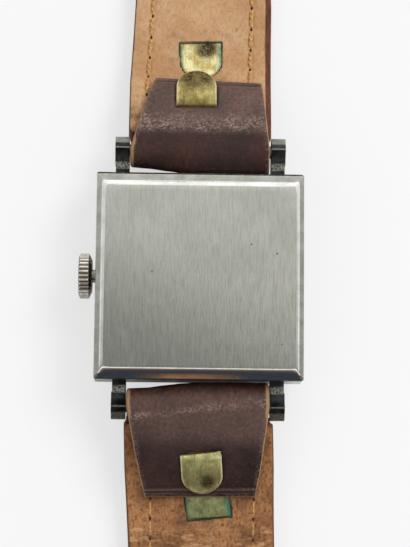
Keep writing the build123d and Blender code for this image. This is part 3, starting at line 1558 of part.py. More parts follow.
def make_buckle_tang():
    """Tang: a ring on the bar and a tongue whose tip lies on the outer side of the cross bar."""
    ring = rod(tang_ring_radius, -tang_half, tang_half)
    top = -buckle_thickness / 2 - tang_gap
    near_y = buckle_reach - buckle_far_bar - tang_gap
    points = [(0, -tang_ring_radius), (buckle_reach, top - tang_thickness), (buckle_reach, top),
              (near_y, top), (0, -tang_ring_radius + tang_thickness)]
    tongue = extrude(Plane.YZ * outline(points), amount=tang_half, both=True)
    body = ring + tongue - rod(buckle_bar_radius + slip, -tang_half, tang_half)
    return place_12(route_place(route_12, length_12) * body)


# Write every node
nodes = {
    "case_back": make_case_back(),
    "case_middle": make_case_middle(),
    "bezel": make_bezel(),
    "crystal": make_crystal(),
    "lugs_12": Compound(children=[make_lug(1, 1), make_lug(-1, 1)]),
    "lugs_6": Compound(children=[make_lug(1, -1), make_lug(-1, -1)]),
    "lug_bar_12": make_lug_bar(1),
    "lug_bar_6": make_lug_bar(-1),
    "crown": make_crown(),
    "crown_tube": make_crown_tube(),
    "winding_stem": make_stem(),
    "winding_pinion": make_winding_pinion(),
    "sliding_pinion": make_sliding_pinion(),
    "setting_lever": make_setting_lever(),
    "yoke": make_yoke(),
    "dial_side_posts": make_dial_side_posts(),
    "main_plate": make_main_plate(),
    "barrel_bridge": make_barrel_bridge(),
    "train_bridge": make_train_bridge(),
    "balance_cock": make_balance_cock(),
    "pallet_bridge": make_pallet_bridge(),
    "bridge_screws": make_bridge_screws(),
    "jewels": make_jewels(),
    "barrel_drum": make_barrel_drum(),
    "barrel_lid": make_barrel_lid(),
    "mainspring": make_mainspring(),
    "barrel_arbor": make_barrel_arbor(),
    "ratchet_wheel": make_ratchet_wheel(),
    "crown_wheel": make_crown_wheel(),
    "click": make_click(),
    "click_spring": make_click_spring(),
    "center_wheel": make_center_wheel(),
    "third_wheel": make_third_wheel(),
    "fourth_wheel": make_fourth_wheel(),
    "escape_wheel": make_escape_wheel(),
    "pallet_fork": make_pallet_fork(),
    "balance_wheel": make_balance(),
    "hairspring": make_hairspring(),
    "regulator": make_regulator(),
    "cannon_pinion": make_cannon_pinion(),
    "minute_wheel": make_minute_wheel(),
    "hour_wheel": make_hour_wheel(),
    "dial": make_dial(),
    "dial_markers": make_dial_markers(),
    "hour_hand": make_hour_hand(),
    "minute_hand": make_minute_hand(),
    "seconds_hand": make_seconds_hand(),
    "fixed_keeper": make_fixed_keeper(),
    "free_keeper": make_free_keeper(),
    "buckle_frame": make_buckle_frame(),
    "buckle_bar": make_buckle_bar(),
    "buckle_tang": make_buckle_tang(),
}
nodes.update(make_strap_12())
nodes.update(make_strap_6())
for name, shape in nodes.items():
    export_step(shape, f"parts/{name}.step")
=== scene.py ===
import logging
import math
from collections.abc import Iterable
from dataclasses import dataclass
from enum import Enum, IntEnum

import bmesh
import bpy
from mathutils import Matrix, Vector, noise


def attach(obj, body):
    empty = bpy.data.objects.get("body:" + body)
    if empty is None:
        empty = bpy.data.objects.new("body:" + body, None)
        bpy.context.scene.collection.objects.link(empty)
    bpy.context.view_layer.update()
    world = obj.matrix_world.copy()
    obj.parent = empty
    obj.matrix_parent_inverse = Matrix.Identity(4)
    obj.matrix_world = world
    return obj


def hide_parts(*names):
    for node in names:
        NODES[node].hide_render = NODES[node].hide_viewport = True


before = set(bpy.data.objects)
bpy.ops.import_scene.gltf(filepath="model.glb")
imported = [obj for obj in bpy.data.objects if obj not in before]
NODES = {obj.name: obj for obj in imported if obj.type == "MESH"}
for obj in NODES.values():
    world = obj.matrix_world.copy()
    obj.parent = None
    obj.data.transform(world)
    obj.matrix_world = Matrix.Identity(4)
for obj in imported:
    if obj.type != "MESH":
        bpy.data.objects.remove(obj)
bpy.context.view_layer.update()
MM = 0.001
LOG = logging.getLogger("watch")

Triple = tuple[float, float, float]
Pair = tuple[float, float]
Line = tuple[Pair, ...]
Rgb = tuple[int, int, int]
Socket = bpy.types.NodeSocket
Material = bpy.types.Material
Mesh = bmesh.types.BMesh

# Middle stretches of a noise, where most of its values lie.
MID: Pair = (0.3, 0.7)
CORE: Pair = (0.35, 0.65)
EVEN: Triple = (1.0, 1.0, 1.0)
DOUBLES = 0.0005
FLAT_ANGLE = 0.6


def tone(red: int, green: int, blue: int) -> tuple[float, float, float, float]:
    """Colour as a screen shows it, from 0 to 255, as a linear colour.

    Args:
        red: Red part.
        green: Green part.
        blue: Blue part.

    Returns:
        Linear colour with full opacity.
    """
    full, knee, slope, offset, power = 255, 0.04045, 12.92, 0.055, 2.4
    parts = []
    for value in (red, green, blue):
        share = value / full
        parts.append(share / slope if share <= knee else ((share + offset) / (1 + offset)) ** power)
    return (parts[0], parts[1], parts[2], 1.0)


def clamp(value: float, low: float = 0.0, high: float = 1.0) -> float:
    """Value held between two limits."""
    return max(low, min(high, value))


def ease(value: float, start: float, end: float) -> float:
    """Smooth step from 0 at the start to 1 at the end."""
    share = clamp((value - start) / (end - start))
    return share * share * (3 - 2 * share)


def fade(value: float, start: float, end: float) -> float:
    """Smooth step from 1 at the start to 0 at the end."""
    return 1 - ease(value, start, end)


def blend(start: float, end: float, share: float) -> float:
    """Value between two others."""
    return start + (end - start) * share


def grain(x: float, y: float, z: float, size: float) -> float:
    """Smooth noise from -1 to 1 with bumps of about the given size in millimetres."""
    return noise.noise(Vector((x / size, y / size, z / size)))


class Mask(Enum):
    """Masks painted on the pieces, which the finishes read."""

    EDGE = "edge"
    WEAR = "wear"
    RUB = "rub"
    # Dusty veil that is also painted sheen on the leather.
    DUST = "dust_and_sheen"
    # Painted shade round the clip leg and in the flap's crease.
    GRIME = "painted_shade"
    STAIN = "stain"
    # Painted highlight on the crests of the lining's wrinkles.
    FOLD = "fold"
    # Tarnishing that also stands for painted shade on the brass.
    TARNISH = "tarnish_and_shade"


class NodeTree:
    """Builder of nodes in a material or a world."""

    def __init__(self, tree: bpy.types.NodeTree) -> None:
        """Work in a node tree."""
        self.tree = tree

    def feed(self, socket: Socket, value: object) -> None:
        """Link a socket to another, or set its value.

        Args:
            socket: Input that is fed.
            value: Socket to link it to, or its value.
        """
        if isinstance(value, bpy.types.NodeSocket):
            self.tree.links.new(value, socket)
        else:
            socket.default_value = value

    def add(self, kind: str, inputs: dict[str | int, object], **settings: object) -> bpy.types.Node:
        """Add a node.

        Args:
            kind: Type name of the node.
            inputs: Values or sockets for its inputs.
            **settings: Properties of the node.

        Returns:
            The new node.
        """
        node = self.tree.nodes.new(kind)
        for key, value in settings.items():
            setattr(node, key, value)
        for key, value in inputs.items():
            self.feed(node.inputs[key], value)
        return node


class Shade(NodeTree):
    """Builder of one material round its Principled shader."""

    def __init__(self, name: str) -> None:
        """Start a material with its Principled shader.

        Args:
            name: Name of the material.
        """
        self.material = bpy.data.materials.new(name)
        self.material.use_nodes = True
        super().__init__(self.material.node_tree)
        self.surface = self.tree.nodes["Principled BSDF"]
        self.colour: Socket | None = None

    def set(self, **values: object) -> None:
        """Feed inputs of the Principled shader, named with underscores for spaces."""
        for key, value in values.items():
            self.feed(self.surface.inputs[key.replace("_", " ")], value)

    def place(self, stretch: Triple = EVEN, centre: Triple = (0.0, 0.0, 0.0)) -> Socket:
        """Object coordinates in millimetres, stretched about a centre.

        Args:
            stretch: Stretch of the pattern each way.
            centre: Centre in millimetres.

        Returns:
            The coordinates.
        """
        source = self.add("ShaderNodeTexCoord", {})
        scale = tuple(part / MM for part in stretch)
        shift = tuple(-middle * part for middle, part in zip(centre, stretch))
        return self.add("ShaderNodeMapping", {"Vector": source.outputs["Object"], "Scale": scale,
                                              "Location": shift}).outputs[0]

    def plan(self, stretch: Triple = EVEN) -> Socket:
        """Coordinates that follow the leather: across, along and depth in millimetres."""
        place = self.add("ShaderNodeAttribute", {}, attribute_name="plan").outputs["Vector"]
        return self.add("ShaderNodeMapping", {"Vector": place, "Scale": stretch}).outputs[0]

    def mask(self, mask: Mask) -> Socket:
        """Painted mask of the piece."""
        return self.add("ShaderNodeAttribute", {}, attribute_name=mask.value).outputs["Fac"]

    def noise(self, vector: Socket, size: float, detail: float = 3.0, rough: float = 0.55) -> Socket:
        """Noise with bumps of about the given size."""
        return self.add("ShaderNodeTexNoise", {"Vector": vector, "Scale": 1 / size, "Detail": detail,
                                               "Roughness": rough}).outputs["Fac"]

    def cells(self, vector: Socket, size: float) -> Socket:
        """Distance from the middles of a cell pattern."""
        return self.add("ShaderNodeTexVoronoi", {"Vector": vector, "Scale": 1 / size},
                        feature="F1").outputs["Distance"]

    def span(self, value: Socket, low: float, high: float, to_low: float = 0.0,
             to_high: float = 1.0) -> Socket:
        """Smooth change from one value to another while the input goes from low to high."""
        return self.add("ShaderNodeMapRange", {0: value, 1: low, 2: high, 3: to_low, 4: to_high},
                        interpolation_type="SMOOTHSTEP").outputs[0]

    def math(self, operation: str, first: object, second: object = 0.0) -> Socket:
        """Sum, product or other simple result of two values."""
        return self.add("ShaderNodeMath", {0: first, 1: second}, operation=operation).outputs[0]

    def times(self, first: object, second: object) -> Socket:
        """Product of two values."""
        return self.math("MULTIPLY", first, second)

    def gap(self, value: Socket, centre: float) -> Socket:
        """Distance of a value from another."""
        return self.math("ABSOLUTE", self.math("SUBTRACT", value, centre))

    def axis(self, vector: Socket, name: str) -> Socket:
        """One part of a vector, X, Y or Z."""
        return self.add("ShaderNodeSeparateXYZ", {0: vector}).outputs[name]

    def mix(self, share: object, first: object, second: object) -> None:
        """Keep a mix of two colours as the colour so far.

        Args:
            share: Share of the second colour.
            first: First colour.
            second: Second colour.
        """
        node = self.add("ShaderNodeMix", {}, data_type="RGBA")
        for index, value in ((0, share), (6, first), (7, second)):
            self.feed(node.inputs[index], value)
        self.colour = node.outputs[2]

    def ground(self, share: object, first: Rgb, second: Rgb) -> None:
        """Start with two colours."""
        self.mix(share, tone(*first), tone(*second))

    def coat(self, share: object, colour: Rgb) -> None:
        """Lay a coat of a colour over the colour so far."""
        self.mix(share, self.colour, tone(*colour))

    def bump(self, height: Socket, depth: float, under: Socket | None = None,
             strength: float = 1.0) -> Socket:
        """Normal raised by a height field.

        Args:
            height: Height from 0 to 1.
            depth: Full height in millimetres.
            under: Normal that this bump adds to.
            strength: Share of the bump.

        Returns:
            The new normal.
        """
        inputs = {"Height": height, "Distance": depth * MM, "Strength": strength}
        if under is not None:
            inputs["Normal"] = under
        return self.add("ShaderNodeBump", inputs).outputs[0]


class Finish:
    """A named finish that paints its own material."""

    name: str

    def paint(self, shade: Shade) -> None:
        """Set the colours, gloss and relief of the material."""
        raise NotImplementedError

    def build(self) -> Material:
        """Make the material.

        Returns:
            The painted material.
        """
        shade = Shade(self.name)
        self.paint(shade)
        return shade.material


@dataclass(frozen=True)
class BrushedSteel(Finish):
    """Steel with short fine lines one way, a few long scratches and small pits."""

    name: str
    light: Rgb
    dark: Rgb
    lines_way: Triple = (5.6, 0.5, 5.6)
    hairs_way: Triple = (1.6, 0.12, 1.0)
    streak_size: float = 3.0
    cloud_size: float = 7.0
    pit_size: float = 3.4
    pit_radius: Pair = (0.022, 0.045)
    groove: Rgb = (112, 113, 104)
    groove_share: float = 0.24
    glint: Rgb = (226, 226, 216)
    glint_share: float = 0.09
    # Painted shade: colour, share, direction, reach and wander of a shading that darkens the field toward its
    # lower left.
    painted_corner_shade: Rgb = (126, 129, 124)
    painted_corner_shade_share: float = 0.66
    painted_corner_shade_way: Triple = (-0.45, -0.89, 0.0)
    painted_corner_shade_reach: Pair = (-3.0, 14.0)
    painted_corner_shade_wander: float = 1.5
    hair: Rgb = (222, 222, 214)
    hair_share: float = 0.16
    pit: Rgb = (46, 44, 38)
    pit_share: float = 0.8
    roughness: Pair = (0.32, 0.23)
    line_depth: float = 0.008

    def paint(self, shade: Shade) -> None:
        """Paint clouds, lines, streaks, painted shade darkening toward one corner, hair scratches and pits.
        """
        here = shade.place()
        lines = shade.noise(shade.place(self.lines_way), 1.0, 4.0, 0.62)
        streaks = shade.noise(shade.place(tuple(part / self.streak_size for part in self.lines_way)), 1.0)
        clouds = shade.noise(here, self.cloud_size)
        shade.ground(shade.span(clouds, *CORE), self.dark, self.light)
        shade.coat(shade.span(lines, 0.40, 0.66, 0.0, self.groove_share), self.groove)
        shade.coat(shade.span(streaks, 0.52, 0.72, 0.0, self.glint_share), self.glint)
        # Painted shade: the field grows darker toward the lower left, as if lit from the upper right.
        corner = shade.add("ShaderNodeVectorMath", {0: here, 1: self.painted_corner_shade_way}, operation="DOT_PRODUCT")
        wander = shade.span(clouds, *MID, -self.painted_corner_shade_wander, self.painted_corner_shade_wander)
        painted_corner_shade = shade.math("ADD", corner.outputs["Value"], wander)
        painted_corner_shade = shade.span(painted_corner_shade, *self.painted_corner_shade_reach, 0.0, self.painted_corner_shade_share)
        shade.coat(painted_corner_shade, self.painted_corner_shade)
        hairs = shade.noise(shade.place(self.hairs_way), 1.0, 2.0)
        hair = shade.span(shade.gap(hairs, 0.5), 0.0, 0.012, self.hair_share, 0.0)
        shade.coat(hair, self.hair)
        pits = shade.span(shade.cells(here, self.pit_size), *self.pit_radius, self.pit_share, 0.0)
        shade.coat(pits, self.pit)
        shade.set(Base_Color=shade.colour, Metallic=1.0)
        shade.set(Roughness=shade.span(lines, *MID, *self.roughness))
        shade.set(Normal=shade.bump(lines, self.line_depth))


@dataclass(frozen=True)
class PolishedSteel(Finish):
    """Steel once polished, now with hairlines, dull clouds, and a grimy seam where two pieces meet, widened
    with painted shade over the wall beside it.
    """

    name: str
    light: Rgb
    dark: Rgb
    roughness: Pair = (0.12, 0.3)
    seam: float = 100.0
    seam_reach: Pair = (0.04, 0.3)
    seam_inside: Pair = (12.2, 12.7)
    hairs_way: Triple = (0.6, 5.0, 3.0)
    spot: Rgb = (104, 100, 90)
    spot_share: float = 0.45
    # Colour of the grimy seam and of the painted shade beside it.
    darkening: Rgb = (40, 36, 30)
    darkening_share: float = 0.9
    darkening_roughness: float = 0.4

    def paint(self, shade: Shade) -> None:
        """Paint clouds and spots, and a grimy seam near the outside of the case, widened into painted shade
        on the wall beside it.
        """
        here = shade.place()
        clouds = shade.noise(here, 3.0, 5.0, 0.65)
        hairs = shade.noise(shade.place(self.hairs_way), 0.7, 4.0, 0.7)
        spots = shade.noise(here, 0.45, 4.0, 0.6)
        shade.ground(shade.span(clouds, 0.35, 0.7), self.light, self.dark)
        shade.coat(shade.span(spots, 0.62, 0.74, 0.0, self.spot_share), self.spot)
        # Grimy seam, widened over the wall beside it as painted shade.
        away = shade.gap(shade.axis(here, "Z"), self.seam)
        darkening = shade.times(shade.span(away, *self.seam_reach, self.darkening_share, 0.0),
                           shade.span(spots, 0.3, 0.5, 0.75, 1.0))
        flat = shade.add("ShaderNodeVectorMath", {0: here}, operation="ABSOLUTE").outputs[0]
        outer = shade.math("MAXIMUM", shade.axis(flat, "X"), shade.axis(flat, "Y"))
        darkening = shade.times(darkening, shade.span(outer, *self.seam_inside, 0.12, 1.0))
        shade.coat(darkening, self.darkening)
        shade.set(Base_Color=shade.colour, Metallic=1.0)
        shade.set(Roughness=shade.math("ADD", shade.span(clouds, 0.35, 0.75, *self.roughness),
                                       shade.times(darkening, self.darkening_roughness)))
        shade.set(Normal=shade.bump(hairs, 0.003, shade.bump(spots, 0.004)))


@dataclass(frozen=True)
class TarnishedSteel(Finish):
    """Lug steel, almost black, made paler to the right by painted light, with bare steel and painted
    highlights on its neck and end facets.
    """

    name: str = "lug_tarnished"
    dark: Rgb = (34, 36, 36)
    # Paler tone for random clouds and for painted light on the right-hand side.
    pale_and_lit: Rgb = (74, 78, 76)
    painted_light_side: Pair = (8.0, 11.0)
    # Bare worn steel, laid also as painted highlight on the upper faces.
    bare: Rgb = (156, 156, 146)
    neck_start: float = 13.95
    neck_end: float = 14.8
    ridge: float = 16.75
    tip_start: float = 17.3
    painted_light_levels: Pair = (-4.4, -3.6)
    depth: float = 0.02

    def paint(self, shade: Shade) -> None:
        """Paint the dark steel, paler to the right as painted light, and bare steel with painted highlights
        on neck, ridge and tip, on the upper levels only.
        """
        here = shade.place()
        along = shade.math("ABSOLUTE", shade.axis(here, "Y"))
        height = shade.axis(here, "Z")
        mottle = shade.noise(here, 0.2, 4.0, 0.7)
        clouds = shade.noise(here, 1.1)
        # Painted light: paler toward the right side, as if lit from the right.
        pale_and_lit = shade.math("ADD", shade.span(clouds, *CORE, 0.0, 0.6),
                          shade.span(shade.axis(here, "X"), *self.painted_light_side, 0.0, 0.4))
        shade.ground(pale_and_lit, self.dark, self.pale_and_lit)
        # Bare steel on tip, neck and ridge, which is also painted highlight.
        tip = shade.times(shade.span(along, self.tip_start, self.tip_start + 0.35),
                          shade.span(mottle, 0.3, 0.6, 0.35, 1.0))
        neck = shade.times(shade.span(along, self.neck_start, self.neck_start + 0.15),
                           shade.span(along, self.neck_end, self.neck_end + 0.3, 1.0, 0.0))
        neck = shade.times(neck, shade.span(mottle, 0.42, 0.56))
        line = shade.times(shade.span(shade.gap(along, self.ridge), 0.04, 0.12, 1.0, 0.0),
                           shade.span(mottle, 0.35, 0.55, 0.2, 0.9))
        worn = shade.math("MAXIMUM", shade.math("MAXIMUM", tip, neck), line)
        # Painted highlight: only the upper levels, which face the light, get it.
        worn = shade.times(worn, shade.span(height, *self.painted_light_levels))
        shade.coat(worn, self.bare)
        shade.set(Base_Color=shade.colour, Metallic=1.0)
        shade.set(Roughness=shade.span(mottle, 0.35, 0.7, 0.3, 0.6))
        shade.set(Normal=shade.bump(mottle, self.depth))


@dataclass(frozen=True)
class CrownSteel(Finish):
    """Crown steel, bright on the crests of its flutes, with painted shade between them."""

    name: str = "crown_fluted"
    light: Rgb = (236, 232, 222)
    dark: Rgb = (206, 202, 192)
    # Colour of the painted shade in the grooves.
    darkening: Rgb = (80, 75, 68)
    axis_height: float = -3.8
    crest: float = 2.88
    root: float = 2.74
    darkening_share: float = 0.6
    depth: float = 0.012

    def paint(self, shade: Shade) -> None:
        """Paint spots, and painted shade where the distance from the crown's axis is that of the grooves."""
        here = shade.place(centre=(0.0, 0.0, self.axis_height))
        flat = shade.add("ShaderNodeVectorMath", {0: here, 1: (0.0, 1.0, 1.0)}, operation="MULTIPLY")
        radius = shade.add("ShaderNodeVectorMath", {0: flat.outputs[0]}, operation="LENGTH").outputs["Value"]
        spots = shade.noise(here, 0.5, 4.0)
        shade.ground(shade.span(spots, 0.35, 0.7), self.light, self.dark)
        # Painted shade darkens the grooves between the flutes.
        groove = shade.times(
            shade.span(radius, self.root - 0.3, self.root - 0.1),
            shade.span(radius, self.root, blend(self.root, self.crest, self.darkening_share), 1.0, 0.0))
        shade.coat(groove, self.darkening)
        shade.set(Base_Color=shade.colour, Metallic=1.0, Roughness=shade.span(spots, *MID, 0.2, 0.36))
        shade.set(Normal=shade.bump(spots, self.depth))


@dataclass(frozen=True)
class GrainLeather(Finish):
    """Grain side of the strap: fine pebble, dark blotches, a dusty veil that is partly painted sheen, crazed
    scuffs, raw tan edges and painted shade round the clip leg.
    """

    name: str = "leather_burgundy"
    dark: Rgb = (33, 18, 17)
    light: Rgb = (53, 31, 27)
    red: Rgb = (80, 40, 30)
    fleck: Rgb = (112, 84, 74)
    # Colour of the dusty veil and painted sheen.
    dust_and_sheen: Rgb = (130, 102, 92)
    scuff: Rgb = (178, 156, 144)
    scratch: Rgb = (128, 104, 94)
    raw: Rgb = (160, 126, 90)
    # Colour of painted shade round the clip leg and in the flap's crease.
    painted_shade: Rgb = (24, 15, 13)
    crazing_way: Triple = (1.0, 1.35, 1.0)
    scratch_way: Triple = (0.35, 2.2, 1.0)

    def paint(self, shade: Shade) -> None:
        """Paint the grain, then rubbed places, a dusty veil with painted sheen, scuffs, scratches, raw edges
        and painted shade over it.
        """
        plan = shade.plan()
        blotches = shade.noise(plan, 4.0, 4.0, 0.6)
        fine = shade.noise(plan, 0.4, 4.0, 0.65)
        specks = shade.noise(plan, 0.16, 3.0, 0.6)
        pores = shade.cells(plan, 0.42)
        crazing = shade.noise(shade.plan(self.crazing_way), 0.8, 5.0, 0.68)
        crazed = shade.span(shade.gap(crazing, 0.5), 0.0, 0.05, 1.0, 0.0)
        shade.ground(shade.span(blotches, *MID), self.dark, self.light)
        rub = shade.times(shade.mask(Mask.RUB), shade.span(fine, 0.3, 0.65))
        shade.coat(rub, self.red)
        shade.coat(shade.span(fine, 0.52, 0.8, 0.0, 0.3), self.fleck)
        # Dusty veil that is also painted sheen: lighter on the crest of the six o'clock flap and on the ridge
        # near the flap's end; kept off the turn of the fold, which stays dark as painted shade.
        haze = shade.times(shade.mask(Mask.DUST), shade.span(fine, 0.25, 0.7, 0.35, 1.0))
        shade.coat(haze, self.dust_and_sheen)
        wear = shade.mask(Mask.WEAR)
        flecks = shade.times(wear, shade.times(crazed, shade.span(specks, 0.34, 0.54)))
        flecks = shade.math("MAXIMUM", flecks, shade.times(wear, shade.span(specks, 0.6, 0.7, 0.0, 0.8)))
        shade.coat(flecks, self.scuff)
        lines = shade.noise(shade.plan(self.scratch_way), 1.0)
        scratch = shade.span(shade.gap(lines, 0.46), 0.0, 0.006, 0.35, 0.0)
        scratch = shade.times(scratch, shade.span(blotches, 0.45, 0.6))
        shade.coat(scratch, self.scratch)
        edge = shade.times(shade.mask(Mask.EDGE), shade.span(fine, 0.25, 0.5, 0.55, 1.0))
        shade.coat(edge, self.raw)
        # Painted shade round the clip leg pressed into the flap, and in the crease near its end.
        shade.coat(shade.mask(Mask.GRIME), self.painted_shade)
        shade.set(Base_Color=shade.colour, Specular_IOR_Level=0.4,
                  Roughness=shade.span(fine, *MID, 0.4, 0.58))
        normal = shade.bump(pores, 0.04, strength=0.6)
        normal = shade.bump(crazing, 0.05, normal, 0.5)
        shade.set(Normal=shade.bump(fine, 0.05, normal, 0.6))


@dataclass(frozen=True)
class LiningLeather(Finish):
    """Tan lining: worn grain, pits, stains, dark oily edges and green round the brass."""

    name: str
    light: Rgb
    dark: Rgb
    stain: Rgb
    pit: Rgb = (96, 60, 38)
    mark: Rgb = (112, 72, 48)
    darkening: Rgb = (98, 62, 40)
    # Colour of the painted highlight on the wrinkle crests.
    fold: Rgb = (206, 160, 116)
    edge: Rgb = (92, 62, 42)
    green: Rgb = (24, 58, 48)
    fibre: float = 0.5
    wear: float = 0.5
    pits: float = 0.3
    fibre_way: Triple = (1.4, 0.8, 1.0)
    fold_way: Triple = (0.4, 1.6, 1.0)

    def paint(self, shade: Shade) -> None:
        """Paint fibres, pits and marks, then dirt, painted highlights on the wrinkle crests, edges and green
        over them.
        """
        plan = shade.plan()
        clouds = shade.noise(plan, 5.0, 4.0, 0.6)
        fibres = shade.noise(shade.plan(self.fibre_way), self.fibre, 6.0, 0.72)
        fine = shade.noise(plan, 0.2, 4.0, 0.7)
        folds = shade.noise(shade.plan(self.fold_way), 1.0, 4.0, 0.6)
        shade.ground(shade.span(clouds, *MID), self.dark, self.light)
        shade.coat(shade.span(fibres, 0.44, 0.68, 0.0, self.wear), self.stain)
        shade.coat(shade.span(fine, 0.55, 0.78, 0.0, 0.45), self.light)
        pit = shade.noise(plan, 0.32, 3.0, 0.6)
        shade.coat(shade.span(pit, 0.62, 0.72, 0.0, self.pits), self.pit)
        marks = shade.noise(plan, 1.3)
        shade.coat(shade.span(marks, 0.66, 0.76, 0.0, 0.5), self.mark)
        darkening = shade.times(shade.mask(Mask.WEAR), shade.span(fibres, 0.3, 0.6, 0.3, 1.0))
        shade.coat(darkening, self.darkening)
        # Painted highlight: lighter where the wrinkle bump is raised.
        fold = shade.times(shade.mask(Mask.FOLD), shade.span(folds, 0.5, 0.62))
        shade.coat(shade.times(fold, 0.7), self.fold)
        shade.coat(shade.mask(Mask.EDGE), self.edge)
        green = shade.times(shade.mask(Mask.STAIN), shade.span(fine, 0.3, 0.6, 0.4, 1.0))
        shade.coat(green, self.green)
        shade.set(Base_Color=shade.colour, Specular_IOR_Level=0.3,
                  Roughness=shade.span(fibres, *MID, 0.55, 0.78))
        normal = shade.bump(folds, 0.14, strength=0.5)
        normal = shade.bump(fibres, 0.09, normal, 0.8)
        normal = shade.bump(pit, 0.06, normal, 0.7)
        shade.set(Normal=shade.bump(fine, 0.03, normal, 0.6))


@dataclass(frozen=True)
class PaintedEdge(Finish):
    """Dark worn edge paint of the strap."""

    name: str = "leather_edge"
    paint_colour: Rgb = (62, 28, 16)
    rubbed: Rgb = (112, 62, 36)
    bare: Rgb = (150, 98, 62)
    along: Triple = (1.0, 0.5, 1.0)

    def paint(self, shade: Shade) -> None:
        """Paint the edge colour, rubbed through in places."""
        plan = shade.plan(self.along)
        rub = shade.noise(plan, 0.8, 4.0, 0.7)
        fine = shade.noise(plan, 0.25)
        shade.ground(shade.span(rub, 0.35, 0.62), self.paint_colour, self.rubbed)
        shade.coat(shade.span(fine, 0.6, 0.75, 0.0, 0.5), self.bare)
        shade.set(Base_Color=shade.colour, Roughness=shade.span(rub, *MID, 0.5, 0.7), Specular_IOR_Level=0.12)
        shade.set(Normal=shade.bump(fine, 0.05))


@dataclass(frozen=True)
class Thread(Finish):
    """Waxed linen thread."""

    name: str = "thread_linen"
    light: Rgb = (230, 190, 128)
    dark: Rgb = (180, 134, 78)
    faded: Rgb = (150, 100, 52)

    def paint(self, shade: Shade) -> None:
        """Paint the fuzz of the thread and its darker stretches."""
        here = shade.place()
        fuzz = shade.noise(here, 0.3, 4.0, 0.7)
        fade = shade.noise(here, 3.0)
        shade.ground(shade.span(fuzz, 0.35, 0.7), self.dark, self.light)
        shade.coat(shade.span(fade, 0.5, 0.75, 0.0, 0.45), self.faded)
        shade.set(Base_Color=shade.colour, Specular_IOR_Level=0.3,
                  Roughness=shade.span(fuzz, *MID, 0.55, 0.8))
        shade.set(Normal=shade.bump(fuzz, 0.04))


@dataclass(frozen=True)
class OldBrass(Finish):
    """Thin sheet brass with brown tarnishing that is partly painted shade, black specks, a green tide mark
    and a worn rim.
    """

    name: str
    light: Rgb
    dark: Rgb
    green: Rgb
    greening: float = 0.35
    # Colour of the tarnishing, which also lays painted shade.
    tarnish_and_shade: Rgb = (66, 47, 27)
    line: Rgb = (84, 66, 38)
    speck: Rgb = (38, 34, 22)
    specks: float = 0.9
    rim: Rgb = (226, 216, 172)
    lines_way: Triple = (4.0, 0.5, 1.0)

    def paint(self, shade: Shade) -> None:
        """Paint clouds and rolling lines, then tarnishing with painted shade, specks, green and the bare rim.
        """
        plan = shade.plan()
        clouds = shade.noise(plan, 1.4, 5.0, 0.65)
        lines = shade.noise(shade.plan(self.lines_way), 0.8, 4.0, 0.7)
        specks = shade.noise(plan, 0.26, 3.0, 0.6)
        moss = shade.noise(plan, 1.1, 5.0, 0.7)
        shade.ground(shade.span(clouds, 0.36, 0.66), self.light, self.dark)
        shade.coat(shade.span(lines, 0.4, 0.7, 0.0, 0.35), self.line)
        # Brown tarnishing that also stands for painted shade where the leg curves away.
        brown = shade.times(shade.mask(Mask.TARNISH), shade.span(specks, 0.25, 0.55, 0.6, 1.0))
        shade.coat(brown, self.tarnish_and_shade)
        shade.coat(shade.span(specks, 0.62, 0.72, 0.0, self.specks), self.speck)
        grown = shade.math("ADD", shade.mask(Mask.STAIN), shade.span(moss, 0.4, 0.75, 0.0, self.greening))
        shade.coat(shade.math("MINIMUM", grown, 1.0), self.green)
        shade.coat(shade.mask(Mask.EDGE), self.rim)
        shade.set(Base_Color=shade.colour, Metallic=shade.span(grown, 0.2, 0.9, 0.9, 0.1))
        shade.set(Roughness=shade.span(clouds, *MID, 0.3, 0.5))
        normal = shade.bump(specks, 0.02, strength=0.7)
        shade.set(Normal=shade.bump(clouds, 0.04, normal, 0.7))


@dataclass(frozen=True)
class Crust(Finish):
    """Dark green corrosion crust."""

    name: str = "verdigris_crust"
    dark: Rgb = (10, 24, 20)
    green: Rgb = (26, 78, 64)
    black: Rgb = (14, 16, 12)

    def paint(self, shade: Shade) -> None:
        """Paint green lumps with black drifts."""
        here = shade.plan()
        lumps = shade.noise(here, 0.3, 5.0, 0.7)
        drift = shade.noise(here, 1.8)
        shade.ground(shade.span(lumps, *CORE), self.dark, self.green)
        shade.coat(shade.span(drift, 0.45, 0.65, 0.0, 0.7), self.black)
        shade.set(Base_Color=shade.colour, Roughness=shade.span(lumps, *MID, 0.6, 0.85))
        shade.set(Normal=shade.bump(lumps, 0.06))


@dataclass(frozen=True)
class Plain(Finish):
    """Small part finish: two tones in clouds over a fine surface."""

    name: str
    light: Rgb
    dark: Rgb
    metallic: float = 0.0
    roughness: float = 0.4
    size: float = 1.0
    depth: float = 0.01
    dulling: float = 0.12

    def paint(self, shade: Shade) -> None:
        """Paint clouds and a fine dulling over them."""
        clouds = shade.noise(shade.place(), self.size * 2, 4.0, 0.6)
        fine = shade.noise(shade.place(), self.size * 0.3, 4.0, 0.65)
        shade.ground(shade.span(clouds, *MID), self.light, self.dark)
        shade.coat(shade.span(fine, 0.5, 0.8, 0.0, 0.25), self.dark)
        shade.set(Base_Color=shade.colour, Metallic=self.metallic)
        shade.set(Roughness=shade.span(fine, *MID, self.roughness, self.roughness + self.dulling))
        shade.set(Normal=shade.bump(fine, self.depth))


